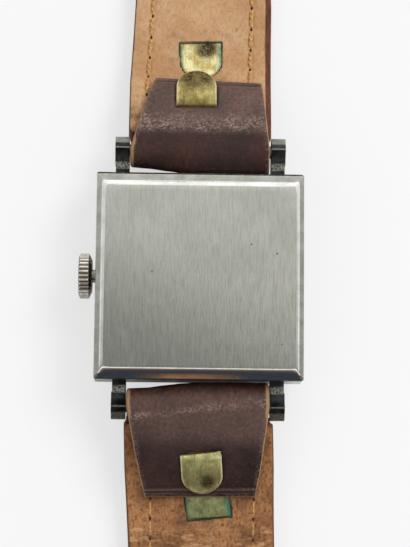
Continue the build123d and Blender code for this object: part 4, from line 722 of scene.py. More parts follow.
@dataclass(frozen=True)
class StripedNickel(Finish):
    """Nickel bridges with broad polished stripes."""

    name: str = "nickel_striped"
    light: Rgb = (226, 220, 204)
    dark: Rgb = (188, 182, 166)
    dull: Rgb = (156, 150, 134)
    stripe: float = 1.7
    lean: float = 0.6
    stripe_depth: float = 0.03
    grain_way: Triple = (1.0, 6.0, 1.0)

    def paint(self, shade: Shade) -> None:
        """Paint leaning stripes that fade across each one."""
        source = shade.add("ShaderNodeTexCoord", {})
        turned = shade.add("ShaderNodeMapping", {"Vector": source.outputs["Object"],
                                                 "Rotation": (0.0, 0.0, self.lean),
                                                 "Scale": (1 / MM, 1 / MM, 1 / MM)}).outputs[0]
        wave = shade.math("FRACT", shade.math("DIVIDE", shade.axis(turned, "X"), self.stripe))
        fine = shade.noise(shade.place(self.grain_way), 0.4, 4.0)
        shade.ground(wave, self.light, self.dark)
        shade.coat(shade.span(fine, 0.5, 0.8, 0.0, 0.3), self.dull)
        shade.set(Base_Color=shade.colour, Metallic=1.0, Roughness=shade.span(fine, *MID, 0.24, 0.36))
        shade.set(Normal=shade.bump(wave, self.stripe_depth, shade.bump(fine, 0.003)))


@dataclass(frozen=True)
class Glass(Finish):
    """Clear acrylic with hairline wear."""

    name: str = "crystal_clear"
    tint: tuple[float, float, float, float] = (0.96, 0.96, 0.93, 1.0)
    refraction: float = 1.49
    hairs_way: Triple = (3.0, 0.7, 1.0)
    roughness: Pair = (0.02, 0.12)

    def paint(self, shade: Shade) -> None:
        """Paint fine scratches in the gloss alone."""
        hairs = shade.noise(shade.place(self.hairs_way), 0.8, 5.0, 0.7)
        shade.set(Base_Color=self.tint, Transmission_Weight=1.0, IOR=self.refraction)
        shade.set(Roughness=shade.span(hairs, 0.5, 0.75, *self.roughness))
        shade.set(Normal=shade.bump(hairs, 0.002))


@dataclass(frozen=True)
class SilverDial(Finish):
    """Silvered dial: fine grain, warm age spots and a darker ring for the small seconds."""

    name: str = "dial_silvered"
    light: Rgb = (228, 224, 212)
    aged: Rgb = (206, 196, 174)
    dull: Rgb = (184, 176, 160)
    shadow: Rgb = (150, 144, 130)
    face_z: float = -6.2
    seconds_y: float = -5.6
    ring: float = 3.0
    ring_edge: float = 0.03
    rings_per_mm: float = 5.0

    def paint(self, shade: Shade) -> None:
        """Paint the silver with its age spots, and turned rings in the small seconds."""
        here = shade.place(centre=(0.0, self.seconds_y, self.face_z))
        radius = shade.add("ShaderNodeVectorMath", {0: here}, operation="LENGTH").outputs["Value"]
        rings = shade.math("FRACT", shade.times(radius, self.rings_per_mm))
        inside = shade.span(radius, self.ring - self.ring_edge, self.ring + self.ring_edge, 1.0, 0.0)
        spots = shade.noise(shade.place(), 1.4, 5.0, 0.65)
        fine = shade.noise(shade.place(), 0.12, 2.0)
        shade.ground(shade.span(spots, 0.35, 0.75), self.light, self.aged)
        shade.coat(shade.span(fine, 0.4, 0.7, 0.0, 0.25), self.dull)
        shade.coat(shade.times(inside, 0.2), self.shadow)
        shade.set(Base_Color=shade.colour, Metallic=0.55, Roughness=shade.span(fine, *MID, 0.34, 0.48))
        shade.set(Normal=shade.bump(shade.times(rings, inside), 0.01))


class Palette:
    """Every finish of the watch, built once."""

    def __init__(self) -> None:
        """Build all materials."""
        seam = -2.05
        self.back = BrushedSteel("steel_back", (207, 206, 198), (196, 196, 187)).build()
        self.ledge = Plain("steel_ledge", (190, 190, 183), (166, 165, 157), 1.0, 0.24, 0.8, 0.006).build()
        self.slope = PolishedSteel("steel_slope", (236, 236, 231), (214, 214, 208), (0.1, 0.2), seam).build()
        self.polish = PolishedSteel("steel_polished", (206, 206, 200), (170, 169, 160), seam=seam).build()
        self.lug = TarnishedSteel().build()
        self.crown = CrownSteel().build()
        self.bar = Plain("steel_bar", (176, 172, 158), (110, 104, 90), 1.0, 0.35).build()
        self.glass = Glass().build()
        self.dial = SilverDial().build()
        self.marker = Plain("marker_polished", (208, 208, 204), (160, 160, 154), 1.0, 0.12).build()
        self.print = Plain("dial_print", (38, 36, 34), (22, 21, 20), 0.0, 0.5).build()
        self.hand = Plain("hand_blued", (34, 44, 96), (20, 24, 60), 1.0, 0.2).build()
        self.nickel = StripedNickel().build()
        self.plate = Plain("nickel_plain", (208, 202, 186), (172, 166, 150), 1.0, 0.3, 0.8, 0.02).build()
        self.works = Plain("steel_works", (176, 178, 182), (130, 132, 138), 1.0, 0.25).build()
        self.screw = Plain("screw_blued", (40, 56, 120), (24, 34, 82), 1.0, 0.18).build()
        self.spring = Plain("spring_tempered", (96, 102, 122), (60, 66, 84), 1.0, 0.3).build()
        self.gilt = Plain("brass_gilt", (222, 184, 112), (176, 138, 74), 1.0, 0.24).build()
        self.ruby = Plain("ruby_red", (176, 24, 48), (110, 10, 28), 0.0, 0.08).build()
        self.outer = GrainLeather().build()
        self.lining_12 = LiningLeather("lining_upper", (214, 174, 132), (192, 146, 104),
                                       (160, 112, 72)).build()
        self.lining_6 = LiningLeather("lining_lower", (184, 132, 87), (122, 80, 50), (84, 48, 28),
                                      wear=0.85, pits=0.65).build()
        self.edge = PaintedEdge().build()
        self.thread = Thread().build()
        # Dark finish of the blobs that stand for the shade inside needle holes and the flap's slit.
        self.hole = Plain("needle_hole_shade", (84, 52, 32), (34, 20, 14), 0.0, 0.8, 0.3).build()
        self.brass = OldBrass("brass_tongue", (214, 198, 130), (166, 146, 86), (146, 150, 94), 0.3).build()
        self.brass_dull = OldBrass("brass_mottled", (208, 200, 142), (158, 148, 98), (116, 132, 92), 0.7,
                                   specks=0.6).build()
        self.brass_bright = OldBrass("brass_window", (255, 246, 190), (214, 190, 118), (36, 118, 98), 0.1,
                                     specks=0.75).build()
        self.brass_green = OldBrass("brass_green", (162, 164, 114), (118, 122, 82), (64, 108, 88), 0.3,
                                    specks=0.7).build()
        self.crust = Crust().build()
        self.buckle = PolishedSteel("steel_buckle", (204, 202, 194), (158, 154, 144), (0.15, 0.36)).build()


@dataclass
class Piece:
    """One finished piece of the visual model."""

    name: str
    body: str
    slot: str
    materials: list[Material]
    replaces: tuple[str, ...] = ()
    sharp: float = 40.0

    def add(self, bm: Mesh) -> bpy.types.Object:
        """Turn a mesh in millimetres into an object that rides on its body.

        Args:
            bm: Mesh in millimetres, freed here.

        Returns:
            The new object.
        """
        bmesh.ops.scale(bm, vec=(MM, MM, MM), verts=bm.verts)
        for face in bm.faces:
            face.smooth = True
        mesh = bpy.data.meshes.new(self.name)
        bm.to_mesh(mesh)
        bm.free()
        for material in self.materials:
            mesh.materials.append(material)
        mesh.set_sharp_from_angle(angle=math.radians(self.sharp))
        piece = bpy.data.objects.new(self.name, mesh)
        bpy.context.scene.collection.objects.link(piece)
        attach(piece, self.body)
        if self.replaces:
            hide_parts(*self.replaces)
        LOG.info("%s: %d faces on %s", self.name, len(mesh.polygons), self.body)
        return piece


def node_mesh(node: str, join_flat: bool = True) -> Mesh:
    """Copy of a node's mesh in millimetres, with its doubles merged.

    Args:
        node: Name of the node.
        join_flat: True to join its flat faces.

    Returns:
        The mesh.
    """
    bm = bmesh.new()
    bm.from_mesh(NODES[node].data)
    bmesh.ops.scale(bm, vec=(1 / MM, 1 / MM, 1 / MM), verts=bm.verts)
    bmesh.ops.remove_doubles(bm, verts=bm.verts, dist=DOUBLES)
    if join_flat:
        bmesh.ops.dissolve_limit(bm, angle_limit=math.radians(FLAT_ANGLE), verts=bm.verts, edges=bm.edges)
    return bm


def mask_layers(bm: Mesh, *masks: Mask) -> list[bmesh.types.BMLayerItem]:
    """Add the plan coordinates and some masks to a mesh.

    Args:
        bm: Mesh that takes them.
        *masks: Masks that will be painted.

    Returns:
        Layer of the plan coordinates, then one for each mask.
    """
    layers = bm.verts.layers
    return [layers.float_vector.new("plan"), *[layers.float.new(mask.value) for mask in masks]]


def rounded_share(gap: float, reach: float, least: float) -> float:
    """Share of full thickness near an edge that is rounded to a quarter circle.

    Args:
        gap: Distance from the edge.
        reach: Width of the rounding.
        least: Share left at the edge itself.

    Returns:
        Share, 1 away from the edge.
    """
    if gap >= reach:
        return 1.0
    return least + (1 - least) * math.sqrt(max(0.0, 1 - (1 - max(gap, 0.0) / reach) ** 2))


def round_edges(bm: Mesh, width: float, angle: float, segments: int) -> None:
    """Round the sharp edges of a closed mesh.

    Args:
        bm: Mesh in millimetres.
        width: Width of the rounding in millimetres.
        angle: Least angle of an edge that is rounded, in degrees.
        segments: Steps of the rounding.
    """
    limit = math.radians(angle)
    edges = [edge for edge in bm.edges if edge.is_manifold and edge.calc_face_angle(0.0) > limit]
    bmesh.ops.bevel(bm, geom=edges, offset=width, offset_type="OFFSET", segments=segments, profile=0.5,
                    affect="EDGES", material=-1, clamp_overlap=True)


def unit_slab(columns: int, rows: int) -> Mesh:
    """Closed slab from -1 to 1 across and along and from 0 to 1 up.

    Args:
        columns: Faces across.
        rows: Faces along.

    Returns:
        The mesh.
    """
    bm = bmesh.new()
    bmesh.ops.create_grid(bm, x_segments=columns, y_segments=rows, size=1.0)
    raised = bmesh.ops.extrude_face_region(bm, geom=bm.faces[:])["geom"]
    for item in raised:
        if isinstance(item, bmesh.types.BMVert):
            item.co.z = 1.0
    bmesh.ops.recalc_face_normals(bm, faces=bm.faces)
    return bm


def tube(bm: Mesh, points: list[Vector], radius: float, sides: int) -> None:
    """Closed round bar through a run of points, added to a mesh.

    Args:
        bm: Mesh that takes the bar.
        points: Middle line.
        radius: Radius of the bar.
        sides: Sides of its section.
    """
    way = (points[1] - points[0]).normalized()
    turn = way.to_track_quat("Z", "Y").to_matrix().to_4x4()
    ring = bmesh.ops.create_circle(bm, cap_ends=True, segments=sides, radius=radius,
                                   matrix=Matrix.Translation(points[0]) @ turn)["verts"]
    edges = [edge for edge in bm.edges if edge.verts[0] in ring and edge.verts[1] in ring]
    for index in range(1, len(points)):
        before = points[index - 1]
        grown = bmesh.ops.extrude_edge_only(bm, edges=edges)["geom"]
        ring = [item for item in grown if isinstance(item, bmesh.types.BMVert)]
        edges = [item for item in grown if isinstance(item, bmesh.types.BMEdge)]
        ahead = points[min(index + 1, len(points) - 1)] - before
        swing = way.rotation_difference(ahead.normalized()).to_matrix()
        way = ahead.normalized()
        for vert in ring:
            vert.co = points[index] + swing @ (vert.co - before)
    bmesh.ops.contextual_create(bm, geom=edges)


@dataclass(frozen=True)
class Route:
    """Middle line of a strap half, from its lug bar outwards."""

    end: int
    slope_run: float
    flat_run: float
    curl_run: float
    curl_radius: float
    end_run: float
    bar_y: float = 16.6
    bar_z: float = -4.0
    drop: float = 3.3
    keys_per_mm: int = 2000

    @property
    def steps(self) -> list[Pair]:
        """Runs and arcs of the line.

        Returns:
            Length and signed radius of each, with radius 0 for a straight one.
        """
        turn = 2 * math.atan2(self.drop, self.slope_run)
        radius = self.slope_run / (2 * math.sin(turn))
        arc = radius * turn
        return [(arc, -radius), (arc, radius), (self.flat_run, 0.0), (self.curl_run, self.curl_radius),
                (self.end_run, 0.0)]

    @property
    def length(self) -> float:
        """Whole length of the middle line."""
        return sum(step[0] for step in self.steps)

    def travel(self, run: float) -> Triple:
        """Follow the line, which goes straight on before the bar and past its end.

        Args:
            run: Distance along the line.

        Returns:
            Distance from the bar along the strap and up, and heading.
        """
        if run <= 0:
            return run, 0.0, 0.0
        y, z, heading = 0.0, 0.0, 0.0
        for length, radius in self.steps:
            step = min(run, length)
            if radius == 0:
                y += step * math.cos(heading)
                z += step * math.sin(heading)
            else:
                turn = step / radius
                y += radius * (math.sin(heading + turn) - math.sin(heading))
                z -= radius * (math.cos(heading + turn) - math.cos(heading))
                heading += turn
            run -= step
            if run <= 0:
                break
        return y + run * math.cos(heading), z + run * math.sin(heading), heading

    def bend(self, bm: Mesh) -> None:
        """Bend a flat mesh of across, run and level along the route, into the frame.

        Args:
            bm: Mesh in millimetres, changed in place.
        """
        memory: dict[int, Triple] = {}
        for vert in bm.verts:
            key = round(vert.co.y * self.keys_per_mm)
            if key not in memory:
                memory[key] = self.travel(vert.co.y)
            y, z, heading = memory[key]
            level = vert.co.z
            vert.co = Vector((vert.co.x, self.end * (self.bar_y + y - level * math.sin(heading)),
                              self.bar_z + z + level * math.cos(heading)))
        if self.end < 0:
            bmesh.ops.reverse_faces(bm, faces=bm.faces)


@dataclass(frozen=True)
class Outline:
    """Edge of a strap layer in plan: places of its left and right edge by run."""

    left: Line
    right: Line

    @staticmethod
    def read(points: Line, run: float) -> float:
        """Value at a run, straight between the points of a line.

        Args:
            points: Runs with their values.
            run: Run to read at.

        Returns:
            The value, held at its first and last.
        """
        if run <= points[0][0]:
            return points[0][1]
        for (low, first), (high, second) in zip(points, points[1:]):
            if run <= high:
                return blend(first, second, (run - low) / (high - low))
        return points[-1][1]

    def at(self, run: float) -> Pair:
        """Left and right edge at a run."""
        return self.read(self.left, run), self.read(self.right, run)


@dataclass(frozen=True)
class Tongue:
    """Brass leg of the strap clip: straight at its slit, round at its free end."""

    middle: float
    slit: float
    tip: float
    half: float
    lean: float = 0.0
    # Round patch of tarnishing and painted shade: across, along and radius.
    tarnished: Triple = (0.0, 0.0, 0.01)

    def tarnish_and_shade(self, x: float, run: float) -> float:
        """Brown tarnishing and painted shade, which lie in a round patch: its middle, across and along, and
        its radius.

        Args:
            x: Place across.
            run: Run of the place.

        Returns:
            Share of tarnish.
        """
        across, along, radius = self.tarnished
        away = math.hypot(x - self.middle - across, (run - self.slit) * self.way - along)
        return fade(away / radius, 0.45, 1.15)

    @property
    def way(self) -> int:
        """+1 where the leg points away from the case."""
        return 1 if self.tip > self.slit else -1

    @property
    def centre(self) -> float:
        """Run of the middle of the round end."""
        return self.tip - self.way * self.half

    def distance(self, x: float, run: float) -> float:
        """Distance of a place from the edge of the leg.

        Args:
            x: Place across.
            run: Run of the place.

        Returns:
            Distance, negative inside the leg.
        """
        x, run = self.unturned(x, run)
        side = abs(x) - self.half
        back = (self.slit - run) * self.way
        beyond = (run - self.centre) * self.way
        if beyond > 0:
            return math.hypot(x, beyond) - self.half
        if back > 0 and side > 0:
            return math.hypot(back, side)
        return max(side, back)

    def unturned(self, x: float, run: float) -> Pair:
        """Turn a place into the leg's own frame.

        Args:
            x: Place across.
            run: Run of the place.

        Returns:
            Distance from the leg's middle line, and run.
        """
        turn = math.radians(self.lean)
        dx, dy = x - self.middle, run - self.slit
        across = dx * math.cos(turn) + dy * math.sin(turn)
        return across, self.slit - dx * math.sin(turn) + dy * math.cos(turn)

    def place(self, u: float, v: float, grow: float = 0.0) -> Pair:
        """Place in plan for shares across and along the leg.

        Args:
            u: Share across, from -1 to 1.
            v: Share along, from -1 at the slit to 1 at the tip.
            grow: Width added all round.

        Returns:
            Place across and run.
        """
        half = self.half + grow
        if v <= 0:
            x, run = u * half, blend(self.slit - self.way * grow, self.centre, v + 1)
        else:
            x = u * half * math.sqrt(1 - v * v / 2)
            run = self.centre + self.way * half * v * math.sqrt(1 - u * u / 2)
        turn = math.radians(-self.lean)
        dy = run - self.slit
        return (self.middle + x * math.cos(turn) + dy * math.sin(turn),
                self.slit - x * math.sin(turn) + dy * math.cos(turn))


@dataclass
class StrapHalf:
    """One half of the strap: outer leather with its flap, filler, lining, clip and stitching."""

    body: str
    route: Route
    outer: Outline
    lining: Outline
    flap: Outline
    flap_end: Pair
    palette: Palette
    lining_finish: Material
    window_finish: Material
    flap_finish: Material
    on_flap: Tongue
    in_lining: Tongue
    stitch_left: Line
    stitch_right: Line
    stitch_start: float
    stitch_end: float
    thread_radius: float = 0.13
    stitch_sink: float = 0.05
    stitch_points: int = 9
    stitch_gap: float = 0.07
    stitch_turns: float = 1.6
    stitch_dip: float = 0.12
    # Size of the dark blob of painted shade for each needle hole.
    needle_hole_shade: Triple = (0.17, 0.26, 0.06)
    furrow: float = 0.12
    holes: tuple[float, ...] = ()
    hole_lean: float = 0.0
    fold_back: bool = False
    pucker: Pair = (0.0, 0.0)
    pucker_end: float = 0.0
    stitch_pitch: float = 2.7
    stitch_offset: float = 0.0
    crease: float = 0.25
    scuff_run: float = 3.2
    scuff_width: float = 0.85
    scuff_share: float = 0.7
    scuff_tilt: float = 0.0
    raw_sides: Pair = (0.0, 0.0)
    # Start, full run and share of the dusty veil and painted sheen on the flap; the next field is where it
    # ends.
    dust_and_sheen: Triple = (1.4, 3.2, 0.6)
    dust_and_sheen_end: float = 40.0
    fold_start: float = 14.6
    # Share of painted highlight on the lining's wrinkles.
    fold_highlight_share: float = 0.0
    leather: float = 1.25
    inner: float = 0.85
    lining_thickness: float = 1.0
    filler_low: float = -0.85
    filler_high: float = -0.15
    filler_start: float = 1.3
    lining_start: float = 2.3
    hole_radius: float = 0.9
    slot_half: float = 1.2
    slot_run: float = 4.0
    return_run: float = 9.5
    edge_round: float = 0.32
    lining_round: float = 0.25
    filler_inset: float = 0.06
    filler_lip: float = 0.28
    filler_lip_width: float = 0.4
    brass: float = 0.4
    brass_bulge: float = 0.22
    window_sink: float = 0.36
    across_steps: int = 64
    row_pitch: float = 0.5
    fine_row_pitch: float = 0.28
    fine_rows_end: float = 14.0
    seed: float = 0.0
    lining_end_gap: float = 0.0

    @property
    def middle(self) -> float:
        """Distance of the middle of the outer leather from the middle line."""
        return self.inner + self.leather / 2

    @property
    def loop(self) -> float:
        """Length of leather in a half turn round a bar."""
        return math.pi * self.middle

    @property
    def lining_top(self) -> float:
        """Level of the face of the lining."""
        return self.inner

    @staticmethod
    def columns(share: float) -> float:
        """Columns gathered near both edges."""
        return math.sin(share * math.pi / 2)

    def sheet_edges(self, along: float) -> Triple:
        """Edges of the outer leather.

        Args:
            along: Distance along the sheet, 0 where it leaves the lug bar under the strap.

        Returns:
            Left edge, right edge and run.
        """
        if along < -self.loop:
            run = -along - self.loop
            return (*self.flap.at(run), run)
        if along < 0:
            share = -along / self.loop
            body = self.outer.at(0)
            flap = self.flap.at(0)
            return blend(body[0], flap[0], share), blend(body[1], flap[1], share), 0.0
        return (*self.outer.at(min(along, self.route.length)), along)

    def fold(self, x: float, along: float, depth: float) -> Pair:
        """Run and level of a point of the outer leather.

        Args:
            x: Place across.
            along: Distance along the sheet, 0 where it leaves the lug bar under the strap.
            depth: Distance from the middle line.

        Returns:
            Run and level.
        """
        length = self.route.length
        if along < -self.loop:
            return -along - self.loop, depth
        if along < 0:
            angle = along / self.middle
            swell = 1 + blend(*self.pucker, ease(x, -9.3, self.pucker_end)) * math.sin(-angle)
            return depth * swell * math.sin(angle), -depth * math.cos(angle)
        if along <= length or not self.fold_back:
            return along, -depth
        if along < length + self.loop:
            angle = (along - length) / self.middle
            return length + depth * math.sin(angle), -depth * math.cos(angle)
        return length - (along - length - self.loop), depth

    def build(self) -> None:
        """Build every piece of the half."""
        self.build_outer()
        self.build_filler()
        self.build_lining()
        self.build_tongue(self.on_flap, self.inner + self.leather, "flap_tongue", self.flap_finish)
        self.build_tongue(self.in_lining, self.lining_top - self.window_sink, "window_tongue",
                          self.window_finish, clip=True)
        self.build_crust()
        self.build_stitches()

    def add_piece(self, bm: Mesh, name: str, slot: str, finish: Material, replaced: str = "",
                  sharp: float = 60.0) -> None:
        """Bend a flat piece along the route and add it.

        Args:
            bm: Mesh of across, run and level in millimetres.
            name: Last part of the piece's name.
            slot: Name of its slot, which the piece keeps but nothing uses.
            finish: Its material.
            replaced: Last part of the name of the node that it replaces, if it does.
            sharp: Least angle of an edge that stays sharp, in degrees.
        """
        self.route.bend(bm)
        nodes = (f"{self.body}_{replaced}",) if replaced else ()
        Piece(f"{self.body}_{name}", self.body, slot, [finish], nodes, sharp).add(bm)

    def build_outer(self) -> None:
        """Outer leather: flap, loop round the bar, and the long face of the strap."""
        left_run, right_run = self.flap_end
        flap_run = max(left_run, right_run)
        start = -self.loop - flap_run
        length = self.route.length
        end = length + (self.loop + self.return_run if self.fold_back else 0.0)
        near = self.fine_rows_end
        near_rows = round((near - start) / self.fine_row_pitch)
        far_rows = round((end - near) / self.row_pitch)
        rows = near_rows + far_rows
        bm = unit_slab(self.across_steps, rows)
        for vert in bm.verts:
            row = (vert.co.y + 1) / 2 * rows
            if row <= near_rows:
                along = blend(start, near, row / near_rows)
            else:
                along = blend(near, end, (row - near_rows) / far_rows)
            share = self.columns(vert.co.x)
            left, right, run = self.sheet_edges(along)
            x = blend(left, right, (share + 1) / 2)
            if along < -self.loop:
                skew = blend(left_run, right_run, (share + 1) / 2) / flap_run
                along = -self.loop - run * skew
            vert.co = Vector((x, along, vert.co.z))
        for run in self.holes:
            self.punch(bm, run)
        if self.fold_back:
            self.cut_slot(bm)
        self.paint_outer(bm)
        self.shape_outer(bm, end)
        self.add_piece(bm, "outer_leather", "outer_leather", self.palette.outer, "outer")

    def flap_distance(self, x: float, along: float) -> float:
        """Distance of a place on the flap from the flap's free end.

        Args:
            x: Place across.
            along: Distance along the sheet.

        Returns:
            The distance.
        """
        left_run, right_run = self.flap_end
        left, right = self.flap.at(max(left_run, right_run))
        run = -along - self.loop
        return blend(left_run, right_run, clamp((x - left) / (right - left))) - run

    def edge_gap(self, x: float, along: float) -> float:
        """Distance of a place on the outer leather from its nearest edge.

        Args:
            x: Place across.
            along: Distance along the sheet.

        Returns:
            The distance.
        """
        left, right, _run = self.sheet_edges(along)
        gap = min(x - left, right - x)
        if along < -self.loop:
            gap = min(gap, self.flap_distance(x, along))
        return gap

    def paint_outer(self, bm: Mesh) -> None:
        """Paint the masks of the outer leather and keep its plan coordinates.

        Args:
            bm: Slab whose vertices hold place across, distance along the sheet and side.
        """
        masks = (Mask.EDGE, Mask.WEAR, Mask.RUB, Mask.DUST, Mask.GRIME)
        plan, edge, wear, rub, dust_and_sheen, painted_shade = mask_layers(bm, *masks)
        for vert in bm.verts:
            x, along, side = vert.co
            gap = self.edge_gap(x, along)
            vert[plan] = Vector((x, along + self.seed, side * self.leather))
            flap_run = -along - self.loop
            reach = 0.17 + 0.08 * grain(x, along, self.seed, 1.1)
            reach += 0.36 * self.raw_sides[0 if x < 0 else 1] * fade(flap_run, 0.6, 2.0)
            raw = fade(gap, reach * 0.7, reach) * (0.25 if along > 0 else 1.0)
            vert[edge] = raw if side > 0.5 else 1.0
            crest = self.scuff_run + self.scuff_tilt * x + 0.3 * grain(x, 0.0, self.seed, 2.0)
            band = fade(abs(flap_run - crest), self.scuff_width * 0.6, self.scuff_width * 1.8)
            corner = fade(gap, 0.2, 0.9)
            ridge = 0.0
            ring = 0.0
            if flap_run > 0:
                away = self.flap_distance(x, along)
                # Painted highlight on the ridge near the flap's end and along that end.
                ridge = fade(abs(away - 1.2), 0.06, 0.26)
                ridge = max(ridge, 0.8 * fade(abs(away - 0.1), 0.02, 0.16))
                # Painted shade: a dark ring round the pressed-in clip leg, and a fainter line in the crease.
                ring = fade(abs(self.on_flap.distance(x, flap_run)), 0.12, 0.34)
                ring = max(ring, 0.3 * fade(abs(away - 0.85), 0.05, 0.3))
            vert[painted_shade] = clamp(ring)
            band *= 0.85 + 1.1 * grain(x, along, self.seed, 1.6)
            vert[wear] = clamp(self.scuff_share * band + 0.3 * corner)
            # Dusty veil that begins away from the bar, so the turn of the fold stays dark as painted shade;
            # on the six o'clock flap it is only a painted sheen on the crest.
            low, high, amount = self.dust_and_sheen
            veil = ease(flap_run, low, high) * fade(flap_run, self.dust_and_sheen_end, self.dust_and_sheen_end + 2.5)
            veil *= amount * (1 + 0.45 * grain(x, along, self.seed + 5, 3.0) + 0.012 * x)
            vert[dust_and_sheen] = clamp(max(veil, ridge))
            spot = grain(x, along, self.seed + 7, 3.2)
            vert[rub] = clamp(ease(along, -self.loop - 3.0, -self.loop + 1.5) * (0.3 + 0.9 * spot))

    def shape_outer(self, bm: Mesh, end: float) -> None:
        """Give the outer leather its thickness, rounded edges, crease and small wrinkles.

        Args:
            bm: Slab whose vertices hold place across, distance along the sheet and side.
            end: Distance along the sheet of its far end.
        """
        for vert in bm.verts:
            x, along, side = vert.co
            gap = self.edge_gap(x, along)
            if along > end - 1:
                gap = min(gap, end - along)
            full = rounded_share(gap, self.edge_round, 0.3)
            depth = self.middle + (side - 0.5) * self.leather * full
            if side > 0.5 and along < 1:
                depth += 0.05 * grain(x, along, self.seed, 1.4) + 0.07 * grain(x, along, self.seed, 4.5)
            if side > 0.5 and self.stitch_start < along < self.stitch_end:
                depth -= 0.3 * fade(self.seam_gap(x, along), 0.15, 0.55)
            if side > 0.5 and along < -self.loop:
                away = self.flap_distance(x, along)
                depth -= 0.45 * fade(away, 0.0, 2.0)
                depth -= 0.2 * fade(abs(away - 0.85), 0.05, 0.3)
                depth -= self.press(x, -along - self.loop)
            run, level = self.fold(x, along, depth)
            vert.co = Vector((x, run, level))

    def seam_gap(self, x: float, run: float) -> float:
        """Distance of a place from the nearer line of stitches."""
        return min(abs(x - Outline.read(line, run)) for line in (self.stitch_left, self.stitch_right))

    def press(self, x: float, run: float) -> float:
        """Depth to which the clip leg is pressed into the flap."""
        away = self.on_flap.distance(x, run)
        return 0.16 * fade(away, -0.1, 0.5)

    @staticmethod
    def open_slab(bm: Mesh, inside: list[bmesh.types.BMFace]) -> list[bmesh.types.BMVert]:
        """Take faces out of both sides of a slab.

        Args:
            bm: The slab.
            inside: Faces to take out.

        Returns:
            Vertices round the opening on both sides.
        """
        rim = {vert for face in inside for vert in face.verts}
        bmesh.ops.delete(bm, geom=inside, context="FACES")
        return [vert for vert in rim if vert.is_valid and vert.is_boundary]

    @staticmethod
    def wall_opening(bm: Mesh, rim: list[bmesh.types.BMVert]) -> None:
        """Join both sides of an opening by a wall."""
        edges = {edge for vert in rim for edge in vert.link_edges if edge.is_boundary}
        bmesh.ops.bridge_loops(bm, edges=list(edges))

    def punch(self, bm: Mesh, run: float) -> None:
        """Punch a round strap hole through a slab in plan coordinates.

        Args:
            bm: Slab whose vertices hold place across, run and side.
            run: Run of the hole.
        """
        centre = Vector((self.hole_lean, run))
        inside = [face for face in bm.faces if abs(face.normal.z) > 0.5
                  and (face.calc_center_median().xy - centre).length < self.hole_radius]
        rim = self.open_slab(bm, inside)
        for vert in rim:
            offset = (vert.co.xy - centre).normalized() * self.hole_radius
            vert.co.x = self.hole_lean + offset.x
            vert.co.y = run + offset.y
        self.wall_opening(bm, rim)

    def cut_slot(self, bm: Mesh) -> None:
        """Slot for the tang where the leather turns round the buckle bar.

        Args:
            bm: Slab whose vertices hold place across, distance along the sheet and side.
        """
        low = self.route.length - self.slot_run
        high = self.route.length + self.loop + self.slot_run
        inside = []
        for face in bm.faces:
            middle = face.calc_center_median()
            if abs(middle.x) < self.slot_half and low < middle.y < high and abs(face.normal.z) > 0.5:
                inside.append(face)
        rim = self.open_slab(bm, inside)
        for vert in rim:
            if abs(vert.co.x) > self.slot_half / 2:
                vert.co.x = math.copysign(self.slot_half, vert.co.x)
        self.wall_opening(bm, rim)

    @property
    def inner_end(self) -> float:
        """Run at which filler and lining end."""
        return self.route.length - self.lining_end_gap

    def lining_runs(self) -> list[float]:
        """Runs of the rows of the lining, closer round the clip leg.

        Returns:
            Every run, from the case outwards.
        """
        fine_start = self.in_lining.tip - 1.0
        fine_end = self.in_lining.slit + 1.0
        marks = [(self.lining_start, 0.4), (fine_start, 0.16), (fine_end, 0.35), (self.inner_end, 0.0)]
        runs = [self.lining_start]
        for (first, pitch), (last, _pitch) in zip(marks, marks[1:]):
            count = round((last - first) / pitch)
            runs += [blend(first, last, (row + 1) / count) for row in range(count)]
        return runs

    def build_filler(self) -> None:
        """Filler between the leathers, with dark painted sides that slope in to the lining."""
        rows = round((self.inner_end - self.filler_start) / self.row_pitch)
        bm = unit_slab(24, rows)
        for vert in bm.verts:
            run = blend(self.filler_start, self.inner_end, (vert.co.y + 1) / 2)
            side = vert.co.z
            outer = self.outer.at(run)
            inner = self.lining.at(run)
            left = blend(outer[0] + self.filler_inset, inner[0], side)
            right = blend(outer[1] - self.filler_inset, inner[1], side)
            share = self.columns(vert.co.x)
            vert.co = Vector((blend(left, right, (share + 1) / 2), run, side))
        for run in self.holes:
            self.punch(bm, run)
        [plan] = mask_layers(bm)
        for vert in bm.verts:
            x, run, side = vert.co
            vert[plan] = Vector((x, run, side))
            lip = self.filler_high
            left, right = self.lining.at(run)
            if side > 0.5 and min(x - left, right - x) < self.filler_lip_width:
                lip = self.lining_top - self.filler_lip
            vert.co.z = blend(self.filler_low, lip, side)
        self.add_piece(bm, "filler", "padding_felt", self.palette.edge, "padding", 50.0)

    def lining_level(self, x: float, run: float) -> float:
        """Height of the face of the lining over its thickness: wrinkles, furrows and clip bed.

        Args:
            x: Place across.
            run: Run of the place.

        Returns:
            Height in millimetres.
        """
        height = 0.035 * grain(x, run, self.seed, 1.3) + 0.06 * grain(x, run, self.seed, 5.0)
        height -= self.furrow * fade(self.seam_gap(x, run), 0.1, 0.7)
        height += self.crease * self.folded(run) * 0.4 * grain(x * 0.3, run, self.seed + 3, 0.8)
        height += 0.02 * grain(x, run, self.seed + 9, 0.5)
        away = self.in_lining.distance(x, run)
        height -= 0.5 * fade(away, 0.0, 0.14)
        height += 0.1 * fade(away, 0.1, 1.4) * ease(away, 0.0, 0.2)
        return height

    def folded(self, run: float) -> float:
        """Share of folding in the lining, where it bends round the wrist."""
        return ease(run, self.fold_start, self.fold_start + 1.5) * fade(run, 26.0, 34.0)

